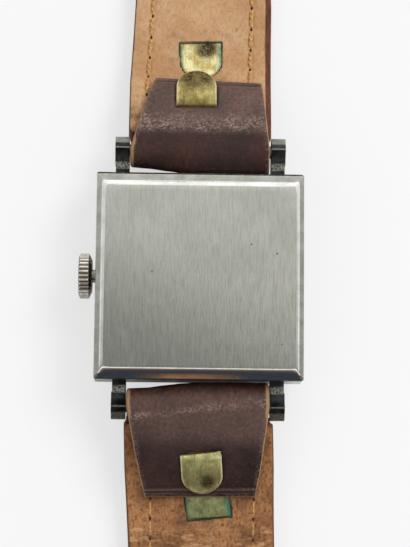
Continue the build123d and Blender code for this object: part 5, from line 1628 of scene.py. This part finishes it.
    def build_lining(self) -> None:
        """Lining leather with rounded edges, furrows, a bed for the clip leg and wrinkles."""
        runs = self.lining_runs()
        rows = len(runs) - 1
        bm = unit_slab(96, rows)
        for vert in bm.verts:
            run = runs[round((vert.co.y + 1) / 2 * rows)]
            left, right = self.lining.at(run)
            vert.co = Vector((blend(left, right, (self.columns(vert.co.x) + 1) / 2), run, vert.co.z))
        for run in self.holes:
            self.punch(bm, run)
        plan, edge, wear, stain, fold = mask_layers(bm, Mask.EDGE, Mask.WEAR, Mask.STAIN, Mask.FOLD)
        low = self.lining_top - self.lining_thickness
        for vert in bm.verts:
            x, run, side = vert.co
            left, right = self.lining.at(run)
            gap = min(x - left, right - x)
            vert[plan] = Vector((x, run + self.seed, side))
            vert[edge] = fade(gap, 0.05, 0.26 + 0.12 * grain(x, run, self.seed, 1.5))
            near = fade(run, 2.0, 9.0)
            vert[wear] = clamp(near * (0.5 + 1.2 * grain(x, run, self.seed, 1.6)))
            away = self.in_lining.distance(x, run)
            halo = fade(away, 0.02, 0.2)
            spread = 0.45 * fade(away, 0.2, 2.6) * ease(grain(x, run, self.seed + 2, 1.6), 0.1, 0.5)
            vert[stain] = clamp(halo + spread)
            # Where the wrinkles get painted highlights on their crests.
            vert[fold] = clamp(self.fold_highlight_share * self.folded(run) * (0.7 + grain(x, run, self.seed + 4, 2.4)))
            vert.co.z = low
            if side > 0.5:
                full = rounded_share(gap, self.lining_round, 0.45)
                vert.co.z = blend(low, self.lining_top, full) + self.lining_level(x, run)
                if run > self.inner_end - 0.5 or run < self.lining_start + 0.5:
                    vert.co.z -= 0.2
        self.add_piece(bm, "lining_leather", "lining_leather", self.lining_finish, "lining")

    def build_tongue(self, leg: Tongue, level: float, name: str, finish: Material,
                     clip: bool = False) -> None:
        """Brass leg with a raised rim, sunk a little at its slit.

        Args:
            leg: Plan of the leg.
            level: Level that it lies on.
            name: Last part of the piece's name.
            finish: Its material.
            clip: True for the flat leg in the lining, which stands for the whole clip.
        """
        bm = unit_slab(20, 28)
        masks = (Mask.EDGE, Mask.STAIN, Mask.TARNISH)
        plan, edge, stain, tarnish_and_shade = mask_layers(bm, *masks)
        bulge = 0.0 if clip else self.brass_bulge
        for vert in bm.verts:
            u, v, side = vert.co
            u = self.columns(u)
            v = self.columns(v) if v > 0 else v
            x, run = leg.place(u, v)
            away = -leg.distance(x, run)
            back = (run - leg.slit) * leg.way
            vert[plan] = Vector((x, run + self.seed, side))
            vert[edge] = 0.0 if clip or back < 0.3 else 0.85 * fade(away, 0.08, 0.2)
            across = leg.unturned(x, run)[0]
            sides = fade(leg.half - abs(across), 0.12, 0.5 if across < 0 else 0.8)
            green = clamp(sides * (0.75 + 0.5 * grain(x, run, self.seed, 0.7)))
            vert[stain] = green if clip else 0.0
            # Tarnishing and painted shade in a round patch of the leg.
            vert[tarnish_and_shade] = leg.tarnish_and_shade(x, run) * clamp(1.0 + 0.5 * grain(x, run, self.seed, 0.8))
            height = level + side * self.brass + bulge * (1 - u * u) * ease(back, 0.0, 1.4)
            height -= 0.12 * fade(back, 0.0, 0.2) if clip else 0.45 * fade(back, 0.0, 0.7)
            if side > 0.5:
                height -= 0.1 * fade(away, 0.0, 0.16)
                height += 0.05 * fade(abs(away - 0.2), 0.02, 0.12)
                height += 0.05 * grain(x, run, self.seed, 1.2)
            vert.co = Vector((x, run, height))
        self.add_piece(bm, name, "clip_brass", finish, "clip" if clip else "", 50.0)

    def build_crust(self) -> None:
        """Green crust that fills the joint between brass and lining, and a dark slab of painted shade for the
        slit in the flap.
        """
        leg = self.in_lining
        bm = unit_slab(24, 36)
        [plan] = mask_layers(bm)
        for vert in bm.verts:
            u, v, side = vert.co
            x, run = leg.place(self.columns(u), v, 0.09)
            vert[plan] = Vector((x, run, side))
            level = self.lining_top - 0.62 + side * 0.5 + 0.08 * grain(x, run, self.seed, 0.5) * side
            level -= 0.3 * side * ease(-leg.distance(x, run), 0.05, 0.4)
            vert.co = Vector((x, run, level))
        self.add_piece(bm, "verdigris", "clip_brass", self.palette.crust)
        # Dark slab of painted shade where the clip leg passes through the flap.
        leg = self.on_flap
        bm = unit_slab(12, 2)
        for vert in bm.verts:
            u, v, side = vert.co
            x = leg.middle + u * (leg.half + 0.25)
            run = leg.slit - 0.05 + v * 0.16 * (1 - 0.6 * u * u)
            vert.co = Vector((x, run, self.inner + self.leather - 0.5 + side * 0.42))
        self.add_piece(bm, "flap_slit_shade", "outer_leather", self.palette.hole)

    def stitch_places(self) -> Iterable[tuple[Line, float, float]]:
        """Go through the stitches of both lines.

        Returns:
            Line, starting run and length of each stitch.
        """
        count = round((self.stitch_end - self.stitch_start) / self.stitch_pitch)
        step = (self.stitch_end - self.stitch_start) / count
        for line, offset in ((self.stitch_left, 0.0), (self.stitch_right, self.stitch_offset)):
            for index in range(count):
                yield line, self.stitch_start + offset + index * step, step

    def strand(self, line: Line, start: float, step: float, base: float, face: int,
               turned: float) -> list[Vector]:
        """Middle line of one of a stitch's two twisted strands.

        Args:
            line: Line of stitches.
            start: Run at which the stitch starts.
            step: Length of the stitch.
            base: Level of the face that it lies on.
            face: 1 on the lining, -1 on the outer leather.
            turned: Angle at which the strand starts.

        Returns:
            Points of the strand.
        """
        points = []
        for index in range(self.stitch_points):
            share = index / (self.stitch_points - 1)
            run = start + step * (self.stitch_gap + (1 - 2 * self.stitch_gap) * share)
            x = Outline.read(line, run)
            angle = turned + share * self.stitch_turns * 2 * math.pi
            lift = math.sin(share * math.pi) ** 0.6
            height = base + face * (self.thread_radius * 1.2 * lift - self.stitch_dip * (1 - lift))
            if face > 0:
                height += self.lining_level(x, run) + self.furrow - self.stitch_sink
            points.append(Vector((x + self.thread_radius * 0.75 * math.cos(angle), run,
                                  height + face * self.thread_radius * 0.6 * math.sin(angle))))
        return points

    def build_stitches(self) -> None:
        """Twisted thread through both faces, with a dark blob of painted shade for the hole between stitches.
        """
        thread = bmesh.new()
        holes = bmesh.new()
        scale = Matrix.Diagonal((*self.needle_hole_shade, 1.0))
        for line, start, step in self.stitch_places():
            for face, base in ((1, self.lining_top - 0.1),
                               (-1, 2.75 * self.thread_radius - self.inner - self.leather)):
                for turned in (0.0, math.pi):
                    points = self.strand(line, start, step, base, face, turned)
                    tube(thread, points, self.thread_radius, 5)
                x = Outline.read(line, start)
                level = base + (self.lining_level(x, start) + 0.1 if face > 0 else 0.0)
                # Dark blob of painted shade for the needle hole.
                bmesh.ops.create_icosphere(holes, subdivisions=2, radius=1.0,
                                           matrix=Matrix.Translation((x, start, level)) @ scale)
        for bm, name, finish in ((thread, "stitching", self.palette.thread),
                                 (holes, "needle_hole_shades", self.palette.hole)):
            bmesh.ops.recalc_face_normals(bm, faces=bm.faces)
            self.add_piece(bm, name, "lining_leather", finish, sharp=40.0)


@dataclass(frozen=True)
class BackEdge:
    """Section of one side of the case back: inset of its rim, then tilts in degrees by distance inwards."""

    inset: float
    tilts: Line
    ledge: float
    crest: float
    depth: float = 0.68
    steps: int = 200

    def heights(self) -> list[float]:
        """Follow the tilts inwards.

        Returns:
            Heights at even steps, from minus the depth at the rim to 0 at the end of the tilts.
        """
        reach = self.tilts[-1][0]
        found = [0.0]
        for step in range(self.steps):
            place = (step + 0.5) / self.steps * reach
            found.append(found[-1] + math.tan(math.radians(Outline.read(self.tilts, place))))
        return [(value / found[-1] - 1) * self.depth for value in found]


class BackZone(IntEnum):
    """Parts of the back by finish, in the order of the piece's materials."""

    BRUSHED = 0
    POLISHED = 1
    SATIN = 2


@dataclass
class CaseBack:
    """Case back: domed brushed field, worn slopes with a narrow ledge, and its hollow and snap lip."""

    palette: Palette
    half_width: float = 13.3
    half_height: float = 13.35
    seat_z: float = -2.05
    face_z: float = -0.79
    ledge_z: float = -1.0
    rim_reach: float = 0.3
    zone: float = 2.6
    zone_power: float = 1.3
    middle_share: float = 0.28
    corner_power: float = 5.0
    least_distance: float = 0.004
    dome: float = 0.1
    dome_reach: float = 11.5
    wear_size: float = 0.7
    wear_depth: float = 0.004
    rows: int = 116
    left: BackEdge = BackEdge(
        0.06, ((0.0, 78.0), (0.1, 14.0), (0.58, 9.0), (0.68, 46.0), (0.9, 38.0), (1.1, 14.0), (1.39, 1.0)),
        0.64, 1.12)
    right: BackEdge = BackEdge(
        0.0, ((0.0, 78.0), (0.1, 14.0), (0.5, 9.0), (0.6, 46.0), (0.82, 36.0), (1.0, 12.0), (1.3, 1.0)),
        0.56, 1.02)
    top: BackEdge = BackEdge(
        0.42, ((0.0, 78.0), (0.1, 12.0), (0.82, 7.0), (0.94, 36.0), (1.26, 28.0), (1.53, 14.0), (1.8, 5.0),
               (2.1, 1.0)), 0.9, 1.55)
    bottom: BackEdge = BackEdge(
        0.05, ((0.0, 47.0), (0.55, 45.0), (1.02, 38.0), (1.15, 26.0), (1.26, 10.0), (1.42, 3.0), (1.6, 1.0)),
        0.0, 1.36, 0.95)

    def spread(self, share: float, half: float) -> float:
        """Gather the rows of the grid near the rim.

        Args:
            share: Share across, from -1 to 1.
            half: Half of the width.

        Returns:
            Place across.
        """
        size = abs(share)
        if size > self.middle_share:
            part = (1 - size) / (1 - self.middle_share)
            place = half - self.zone * part ** self.zone_power
        else:
            place = (half - self.zone) * size / self.middle_share
        return math.copysign(place, share)

    def inward(self, x: float, y: float) -> tuple[float, list[tuple[BackEdge, float]]]:
        """Find how far in from the rim a place is, with round corners.

        Args:
            x: Place across.
            y: Place up.

        Returns:
            Distance from the rim, and the share of each side in it.
        """
        sides = ((self.left, x + self.half_width - self.left.inset),
                 (self.right, self.half_width - self.right.inset - x),
                 (self.top, self.half_height - self.top.inset - y),
                 (self.bottom, y + self.half_height - self.bottom.inset))
        near = [(edge, max(distance, self.least_distance) ** -self.corner_power) for edge, distance in sides]
        total = sum(weight for _edge, weight in near)
        return total ** (-1 / self.corner_power), [(edge, weight / total) for edge, weight in near]

    def build(self) -> None:
        """Build the face as a shaped grid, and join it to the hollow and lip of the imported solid."""
        bm = bmesh.new()
        bmesh.ops.create_grid(bm, x_segments=self.rows, y_segments=self.rows, size=1.0)
        tables = {id(edge): edge.heights() for edge in (self.left, self.right, self.top, self.bottom)}
        for vert in bm.verts:
            x = self.spread(vert.co.x, self.half_width)
            y = self.spread(vert.co.y, self.half_height)
            x = clamp(x, -self.half_width + self.left.inset, self.half_width - self.right.inset)
            y = clamp(y, -self.half_height + self.bottom.inset, self.half_height - self.top.inset)
            height = 0.0
            distance, sides = self.inward(x, y)
            for edge, share in sides:
                table = tables[id(edge)]
                place = clamp(distance / edge.tilts[-1][0]) * edge.steps
                index = min(int(place), edge.steps - 1)
                height += share * blend(table[index], table[index + 1], place - index)
            height -= self.dome * ((x / self.dome_reach) ** 2 + (y / self.dome_reach) ** 2)
            height += self.wear_depth * grain(x, y, 3.0, self.wear_size) * ease(-height, 0.1, 0.2)
            vert.co = Vector((x, y, height))
        rim = [edge for edge in bm.edges if edge.is_boundary]
        walls = bmesh.ops.extrude_edge_only(bm, edges=rim)["geom"]
        for item in walls:
            if isinstance(item, bmesh.types.BMVert):
                item.co.z = self.seat_z
        bm.from_mesh(self.inside())
        bmesh.ops.remove_doubles(bm, verts=bm.verts, dist=DOUBLES)
        bmesh.ops.bridge_loops(bm, edges=[edge for edge in bm.edges if edge.is_boundary])
        bmesh.ops.recalc_face_normals(bm, faces=bm.faces)
        for face in bm.faces:
            middle = face.calc_center_median()
            distance, sides = self.inward(middle.x, middle.y)
            face.material_index = BackZone.POLISHED
            if distance > sum(share * edge.crest for edge, share in sides):
                face.material_index = BackZone.BRUSHED
            elif middle.z > self.ledge_z and distance < sum(share * edge.ledge for edge, share in sides):
                face.material_index = BackZone.SATIN
        finishes = {BackZone.BRUSHED: self.palette.back, BackZone.POLISHED: self.palette.slope,
                    BackZone.SATIN: self.palette.ledge}
        Piece("case_back_worn", "back", "back_steel", [finishes[zone] for zone in BackZone],
              ("case_back",)).add(bm)

    def inside(self) -> bpy.types.Mesh:
        """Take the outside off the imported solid.

        Returns:
            Hollow and snap lip in millimetres, open where the seat was.
        """
        bm = node_mesh("case_back", join_flat=False)
        wide, high = self.half_width - self.rim_reach, self.half_height - self.rim_reach
        outside = []
        for face in bm.faces:
            on_rim = any(abs(vert.co.x) > wide or abs(vert.co.y) > high for vert in face.verts)
            if on_rim or all(vert.co.z > self.face_z for vert in face.verts):
                outside.append(face)
        bmesh.ops.delete(bm, geom=outside, context="FACES")
        mesh = bpy.data.meshes.new("case_back_inside")
        bm.to_mesh(mesh)
        bm.free()
        return mesh


@dataclass
class Metalwork:
    """Case, lugs, crown and buckle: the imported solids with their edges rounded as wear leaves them."""

    palette: Palette

    def rounded(self, node: str, body: str, slot: str, finish: Material, width: float,
                angle: float = 30.0, segments: int = 2) -> None:
        """Replace a node with a copy of it that has rounded edges.

        Args:
            node: Name of the node.
            body: Body that it rides on.
            slot: Name of its slot, which the piece keeps but nothing uses.
            finish: Its material.
            width: Width of the rounding in millimetres.
            angle: Least angle of an edge that is rounded, in degrees.
            segments: Steps of the rounding.
        """
        bm = node_mesh(node)
        round_edges(bm, width, angle, segments)
        Piece(f"{node}_worn", body, slot, [finish], (node,), 26.0).add(bm)

    def build(self) -> None:
        """Build every rounded piece."""
        steel, lug, buckle = self.palette.polish, self.palette.lug, self.palette.buckle
        self.rounded("case_middle", "case", "case_steel", steel, width=0.08, angle=28.0)
        self.rounded("bezel", "case", "case_steel", steel, width=0.12, angle=28.0)
        self.rounded("crystal", "case", "crystal_acrylic", self.palette.glass, width=0.1, angle=28.0)
        self.rounded("lugs_12", "case", "lug_steel", lug, width=0.09)
        self.rounded("lugs_6", "case", "lug_steel", lug, width=0.09)
        self.rounded("crown", "stem_and_crown", "crown_steel", self.palette.crown, width=0.035, segments=1)
        self.rounded("buckle_frame", "buckle", "buckle_steel", buckle, width=0.4, segments=3)
        self.rounded("buckle_tang", "tang", "buckle_steel", buckle, width=0.15)


@dataclass
class Keeper:
    """Leather keeper: a strip bent round the strap, its seam under the strap."""

    node: str
    body: str
    run: float
    half: float
    low: float
    high: float
    palette: Palette
    route: Route
    wall: float = 1.0
    width: float = 5.0
    squareness: float = 12.0
    edge_round: float = 0.35
    wear_share: float = 0.4
    rub_share: float = 0.2
    plan_length: float = 60.0
    around: int = 72
    along: int = 14

    def ring_place(self, share: float, depth: float) -> Pair:
        """Place across and level on the ring, which is a rounded oblong.

        Args:
            share: Share of the way round, from 0 to 1.
            depth: Distance out from the inner face.

        Returns:
            Place across and level.
        """
        angle = share * 2 * math.pi
        cosine, sine = math.cos(angle), math.sin(angle)
        power = 2 / self.squareness
        wide = self.half + depth
        tall = (self.high - self.low) / 2 + depth
        return (wide * math.copysign(abs(cosine) ** power, cosine),
                (self.low + self.high) / 2 + tall * math.copysign(abs(sine) ** power, sine))

    def build(self) -> None:
        """Build the strip, closed on itself."""
        bm = unit_slab(self.around, self.along)
        ends = [face for face in bm.faces if abs(face.normal.x) > 0.5]
        bmesh.ops.delete(bm, geom=ends, context="FACES_ONLY")
        plan, edge, wear, rub = mask_layers(bm, Mask.EDGE, Mask.WEAR, Mask.RUB)
        for vert in bm.verts:
            share = (vert.co.x + 1) / 2
            v = StrapHalf.columns(vert.co.y)
            side = vert.co.z
            gap = (1 - abs(v)) * self.width / 2
            full = rounded_share(gap, self.edge_round, 0.35)
            x, level = self.ring_place(share, self.wall / 2 + (side - 0.5) * self.wall * full)
            vert[plan] = Vector((share * self.plan_length, v * self.width / 2, side))
            vert[edge] = fade(gap, 0.08, 0.28) if side > 0.5 else 1.0
            vert[wear] = self.wear_share * fade(gap, 0.2, 0.9)
            vert[rub] = self.rub_share
            vert.co = Vector((x, self.run + v * self.width / 2, level))
        bmesh.ops.remove_doubles(bm, verts=bm.verts, dist=DOUBLES)
        self.route.bend(bm)
        bmesh.ops.recalc_face_normals(bm, faces=bm.faces)
        Piece(f"{self.node}_leather", self.body, "outer_leather", [self.palette.outer], (self.node,),
              60.0).add(bm)


@dataclass
class DialPrint:
    """Printing on the front of the dial: minute marks in a square line, and small seconds marks."""

    palette: Palette
    face_z: float = -6.2
    thickness: float = 0.02
    track: float = 9.55
    marks: Pair = (0.4, 0.75)
    mark_width: float = 0.09
    line_width: float = 0.06
    line_inset: float = 0.32
    seconds_y: float = -5.6
    seconds_radius: float = 2.7
    seconds_marks: Pair = (0.18, 0.34)
    seconds_width: float = 0.05
    seconds_sink: float = 0.1

    def bar(self, bm: Mesh, centre: Vector, size: Pair, angle: float) -> None:
        """Add a thin printed bar.

        Args:
            bm: Mesh that takes it.
            centre: Its centre.
            size: Its length and width.
            angle: Its direction.
        """
        turn = Matrix.Rotation(angle, 4, "Z")
        scale = Matrix.Diagonal((*size, self.thickness, 1.0))
        bmesh.ops.create_cube(bm, size=1.0, matrix=Matrix.Translation(centre) @ turn @ scale)

    def build(self) -> None:
        """Build all the printing as one piece."""
        bm = bmesh.new()
        level = self.face_z - self.thickness / 2
        for minute in range(60):
            angle = math.radians(minute * 6)
            across, up = math.cos(angle), math.sin(angle)
            fifth = minute % 5 == 0
            reach = self.track / max(abs(across), abs(up))
            centre = Vector((reach * across, reach * up, level))
            self.bar(bm, centre, (self.marks[fifth], self.mark_width), angle)
            small = Vector((self.seconds_radius * across, self.seconds_y + self.seconds_radius * up,
                            level + self.seconds_sink))
            self.bar(bm, small, (self.seconds_marks[fifth], self.seconds_width), angle)
        edge = self.track - self.line_inset
        for side in range(4):
            angle = math.radians(side * 90)
            centre = Vector((edge * math.cos(angle), edge * math.sin(angle), level))
            self.bar(bm, centre, (self.line_width, edge * 2), angle)
        Piece("dial_printing", "case", "dial_silver", [self.palette.print]).add(bm)


@dataclass
class Movement:
    """Pieces inside the case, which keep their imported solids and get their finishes."""

    palette: Palette

    def build(self) -> None:
        """Dress every node of the movement, the dial side and the small fittings."""
        colours = self.palette
        finishes = {
            colours.nickel: ["barrel_bridge", "train_bridge", "balance_cock"],
            colours.plate: ["main_plate", "pallet_bridge"],
            colours.works: ["winding_stem", "winding_pinion", "sliding_pinion", "setting_lever", "yoke",
                            "ratchet_wheel", "crown_wheel", "click", "barrel_arbor", "regulator",
                            "pallet_fork", "cannon_pinion", "dial_side_posts"],
            colours.screw: ["bridge_screws"],
            colours.spring: ["click_spring", "mainspring", "hairspring"],
            colours.gilt: ["barrel_drum", "barrel_lid", "center_wheel", "third_wheel", "fourth_wheel",
                           "escape_wheel", "minute_wheel", "hour_wheel", "balance_wheel"],
            colours.ruby: ["jewels"],
            colours.dial: ["dial"],
            colours.marker: ["dial_markers"],
            colours.hand: ["hour_hand", "minute_hand", "seconds_hand"],
            colours.bar: ["lug_bar_12", "lug_bar_6", "crown_tube", "buckle_bar"],
        }
        for finish, names in finishes.items():
            for name in names:
                mesh = NODES[name].data
                mesh.materials.clear()
                mesh.materials.append(finish)
                LOG.info("%s dressed in %s", name, finish.name)


@dataclass
class Strap:
    """Both halves of the strap with their keepers."""

    palette: Palette
    point: float = 9.0
    first_hole: float = 22.0
    hole_pitch: float = 6.5
    hole_count: int = 7
    keeper_backs: Pair = (7.0, 14.0)
    keeper_halves: Pair = (8.3, 8.95)
    keeper_gaps: Pair = (0.05, 0.3)
    keeper_room: float = 1.6

    def upper(self) -> StrapHalf:
        """Describe the half at twelve o'clock, which carries the buckle.

        Returns:
            The half.
        """
        colours = self.palette
        route = Route(end=1, slope_run=16.0, flat_run=6.0, curl_run=22.0, curl_radius=55.0, end_run=26.0)
        length = route.length
        return StrapHalf(
            body="strap_12", route=route, palette=colours, lining_finish=colours.lining_12,
            window_finish=colours.brass_bright, flap_finish=colours.brass,
            outer=Outline(((1.85, -9.1), (2.05, -9.4), (10.0, -9.38), (21.0, -8.85), (length, -8.0)),
                          ((1.85, 9.0), (2.1, 9.3), (21.0, 9.42), (46.0, 8.7), (length, 8.0))),
            lining=Outline(((2.3, -9.0), (2.5, -9.36), (10.0, -9.34), (21.0, -8.8), (length, -7.9)),
                           ((2.3, 8.4), (2.6, 8.6), (21.0, 8.65), (length, 7.5))),
            flap=Outline(((0.0, -9.12), (10.0, -5.93)), ((0.0, 8.95), (9.3, 7.97))),
            flap_end=(10.0, 9.3),
            on_flap=Tongue(middle=-0.6, slit=5.3, tip=10.42, half=2.6, tarnished=(0.0, 4.7, 3.5)),
            in_lining=Tongue(middle=-0.1, slit=15.7, tip=10.35, half=2.72, lean=2.0,
                             tarnished=(0.8, 0.9, 1.7)),
            stitch_left=((7.5, -7.13), (21.0, -6.4), (length, -6.2)),
            stitch_right=((10.9, 6.47), (21.0, 6.7), (length, 6.2)),
            stitch_start=7.6, stitch_end=length - 7.3, thread_radius=0.17, fold_back=True,
            pucker=(0.03, 0.5), pucker_end=1.5, crease=0.05, stitch_pitch=2.95, stitch_offset=1.3,
            raw_sides=(1.0, 0.0), seed=11.0, lining_end_gap=1.3)

    def lower(self) -> StrapHalf:
        """Describe the half at six o'clock, with the holes.

        Returns:
            The half.
        """
        colours = self.palette
        route = Route(end=-1, slope_run=16.0, flat_run=6.0, curl_run=50.0, curl_radius=90.0, end_run=32.0)
        length = route.length
        tip = length - self.point
        first_hole = length - self.first_hole
        return StrapHalf(
            body="strap_6", route=route, palette=colours, lining_finish=colours.lining_6,
            window_finish=colours.brass_green, flap_finish=colours.brass_dull,
            outer=Outline(
                ((1.85, -9.1), (2.05, -9.45), (8.5, -9.3), (18.0, -8.7), (tip, -6.9), (length, -1.8)),
                ((1.85, 9.1), (2.1, 9.7), (8.5, 9.95), (18.0, 10.15), (tip, 8.3), (length, 3.2))),
            lining=Outline(
                ((2.3, -9.1), (2.5, -9.4), (8.5, -9.2), (18.0, -8.58), (tip, -6.8), (length, -1.7)),
                ((2.3, 9.2), (2.6, 9.6), (8.5, 9.8), (18.0, 10.0), (tip, 8.2), (length, 3.1))),
            flap=Outline(((0.0, -9.12), (11.35, -6.68)), ((0.0, 9.1), (11.35, 7.55))),
            flap_end=(11.6, 11.4),
            on_flap=Tongue(middle=0.4, slit=5.45, tip=10.68, half=2.6, lean=-5.0, tarnished=(0.9, 3.4, 1.2)),
            in_lining=Tongue(middle=1.7, slit=14.5, tip=9.1, half=2.8, lean=-6.8),
            stitch_left=((14.3, -5.89), (30.0, -5.6), (tip, -4.6), (length, -1.0)),
            stitch_right=((14.3, 7.33), (30.0, 7.2), (tip, 6.0), (length, 2.4)),
            stitch_start=9.2, stitch_end=length - 2.0, thread_radius=0.1, stitch_sink=0.14,
            holes=tuple(first_hole - index * self.hole_pitch for index in range(self.hole_count)),
            hole_lean=0.7, pucker=(0.06, 0.5), pucker_end=0.8, crease=0.28, scuff_run=0.5, scuff_width=0.3,
            scuff_tilt=-0.098, scuff_share=0.5, raw_sides=(1.0, 1.0), dust_and_sheen=(-2.0, 0.0, 0.36), dust_and_sheen_end=2.8,
            fold_highlight_share=1.0, seed=53.0)

    def build(self) -> None:
        """Build halves and keepers."""
        upper = self.upper()
        upper.build()
        self.lower().build()
        low = -upper.inner - upper.leather
        high = upper.inner + upper.leather + self.keeper_room
        keepers = zip(("fixed_keeper", "free_keeper"), ("strap_12", "free_keeper"), self.keeper_backs,
                      self.keeper_halves, self.keeper_gaps)
        for node, body, back, half, gap in keepers:
            Keeper(node, body, upper.route.length - back, half + gap, low - gap, high, self.palette,
                   upper.route).build()


@dataclass
class Studio:
    """White sweep, soft light from the upper right, and the camera."""

    floor_z: float = -9.42
    floor_half: float = 3.0
    floor_white: tuple[float, float, float, float] = (0.9, 0.9, 0.9, 1.0)
    distance: float = 220.0
    focal: float = 114.32
    sensor: float = 36.0
    clip: Pair = (0.01, 10.0)
    turns: tuple[tuple[str, float], ...] = (("Z", -0.77), ("Y", 1.04), ("X", -8.09))
    shift: float = 5.3 / 547
    floor_glow: float = 0.63
    glow_reach: Pair = (14.0, 36.0)
    dome_light: float = 0.50
    mirror_sky: tuple[tuple[float, Triple], ...] = (
        (0.0, (0.028, 0.040, 0.060)), (0.035, (0.040, 0.046, 0.062)), (0.07, (0.120, 0.074, 0.066)),
        (0.12, (0.20, 0.14, 0.12)), (0.18, (0.26, 0.23, 0.20)), (0.27, (0.32, 0.32, 0.30)),
        (0.31, (1.15, 1.15, 1.12)), (0.39, (1.15, 1.15, 1.12)), (0.43, (0.24, 0.24, 0.23)),
        (0.50, (0.40, 0.41, 0.39)), (0.56, (0.66, 0.67, 0.64)), (0.63, (0.94, 0.95, 0.93)),
        (0.80, (0.98, 0.99, 0.97)), (0.88, (1.28, 1.28, 1.28)), (1.0, (1.28, 1.28, 1.28)))

    def camera(self) -> None:
        """Camera above the back, leaning to six o'clock."""
        data = bpy.data.cameras.new("camera")
        data.lens = self.focal
        data.sensor_width = self.sensor
        data.shift_x = self.shift
        data.clip_start, data.clip_end = self.clip
        camera = bpy.data.objects.new("camera", data)
        spin = Matrix.Identity(4)
        for axis, angle in self.turns:
            spin @= Matrix.Rotation(math.radians(angle), 4, axis)
        camera.matrix_world = spin.inverted() @ Matrix.Translation((0.0, 0.0, self.distance * MM))
        bpy.context.scene.collection.objects.link(camera)
        bpy.context.scene.camera = camera

    @staticmethod
    def lamp(name: str, place: Triple, size: float, power: float) -> None:
        """Square lamp that faces the watch and isn't mirrored in it.

        Args:
            name: Name of the lamp.
            place: Its place in metres.
            size: Its side in metres.
            power: Its power in watts.
        """
        data = bpy.data.lights.new(name, "AREA")
        data.size = size
        data.energy = power
        lamp = bpy.data.objects.new(name, data)
        lamp.visible_glossy = False
        where = Vector(place)
        lamp.matrix_world = Matrix.Translation(where) @ where.to_track_quat("Z", "Y").to_matrix().to_4x4()
        bpy.context.scene.collection.objects.link(lamp)

    def floor(self) -> None:
        """White floor that keeps the shadow and shows white to the camera and in metal."""
        bm = bmesh.new()
        bmesh.ops.create_grid(bm, x_segments=1, y_segments=1, size=self.floor_half)
        mesh = bpy.data.meshes.new("floor")
        bm.to_mesh(mesh)
        bm.free()
        floor = bpy.data.objects.new("floor", mesh)
        floor.location.z = self.floor_z * MM
        bpy.context.scene.collection.objects.link(floor)
        shade = Shade("floor_white")
        shade.set(Base_Color=self.floor_white, Roughness=0.9, Specular_IOR_Level=0.1)
        path = shade.add("ShaderNodeLightPath", {})
        beside = shade.math("ABSOLUTE", shade.axis(shade.place(), "X"))
        mirrored = shade.math("MAXIMUM", path.outputs["Is Glossy Ray"], path.outputs["Is Transmission Ray"])
        mirrored = shade.math("MULTIPLY", mirrored, shade.span(beside, *self.glow_reach))
        seen = shade.math("MAXIMUM", path.outputs["Is Camera Ray"], mirrored)
        glow = shade.add("ShaderNodeEmission", {"Color": (1.0, 1.0, 1.0, 1.0), "Strength": 1.0})
        both = shade.add("ShaderNodeMixShader", {0: shade.math("MULTIPLY", seen, self.floor_glow),
                                                 1: shade.surface.outputs[0], 2: glow.outputs[0]})
        shade.feed(shade.tree.nodes["Material Output"].inputs["Surface"], both.outputs[0])
        mesh.materials.append(shade.material)

    def sky(self) -> None:
        """World: an even dome for light, white for the camera, and for metal bands from dark to bright."""
        world = bpy.data.worlds.new("studio")
        bpy.context.scene.world = world
        world.use_nodes = True
        sky = NodeTree(world.node_tree)
        source = sky.add("ShaderNodeTexCoord", {})
        split = sky.add("ShaderNodeSeparateXYZ", {0: source.outputs["Generated"]})
        height = sky.add("ShaderNodeMapRange", {0: split.outputs["Y"], 1: -1.0, 2: 1.0})
        ramp = sky.add("ShaderNodeValToRGB", {0: height.outputs[0]})
        elements = ramp.color_ramp.elements
        while len(elements) < len(self.mirror_sky):
            elements.new(0.5)
        for element, (position, colour) in zip(elements, self.mirror_sky):
            element.position = position
            element.color = (*colour, 1.0)
        dome = sky.tree.nodes["Background"]
        sky.feed(dome.inputs["Color"], (1.0, 1.0, 1.0, 1.0))
        sky.feed(dome.inputs["Strength"], self.dome_light)
        mirrored = sky.add("ShaderNodeBackground", {"Color": ramp.outputs[0], "Strength": 1.0})
        white = sky.add("ShaderNodeBackground", {"Strength": 1.0})
        path = sky.add("ShaderNodeLightPath", {})
        lit = sky.add("ShaderNodeMixShader", {0: path.outputs["Is Glossy Ray"], 1: dome.outputs[0],
                                              2: mirrored.outputs[0]})
        seen = sky.add("ShaderNodeMixShader", {0: path.outputs["Is Camera Ray"], 1: lit.outputs[0],
                                               2: white.outputs[0]})
        sky.feed(sky.tree.nodes["World Output"].inputs["Surface"], seen.outputs[0])

    def build(self) -> None:
        """Set up the whole studio."""
        self.camera()
        self.floor()
        self.sky()
        self.lamp("key", place=(0.60, 0.44, 0.84), size=0.60, power=7.0)
        self.lamp("fill", place=(-0.70, -0.30, 0.90), size=0.70, power=1.3)
        bpy.context.scene.view_settings.view_transform = "Standard"


def main() -> None:
    """Build the watch and its studio."""
    logging.basicConfig(level=logging.INFO, format="%(message)s")
    palette = Palette()
    Studio().build()
    CaseBack(palette).build()
    Metalwork(palette).build()
    Movement(palette).build()
    DialPrint(palette).build()
    Strap(palette).build()


if __name__ == "__main__":
    main()
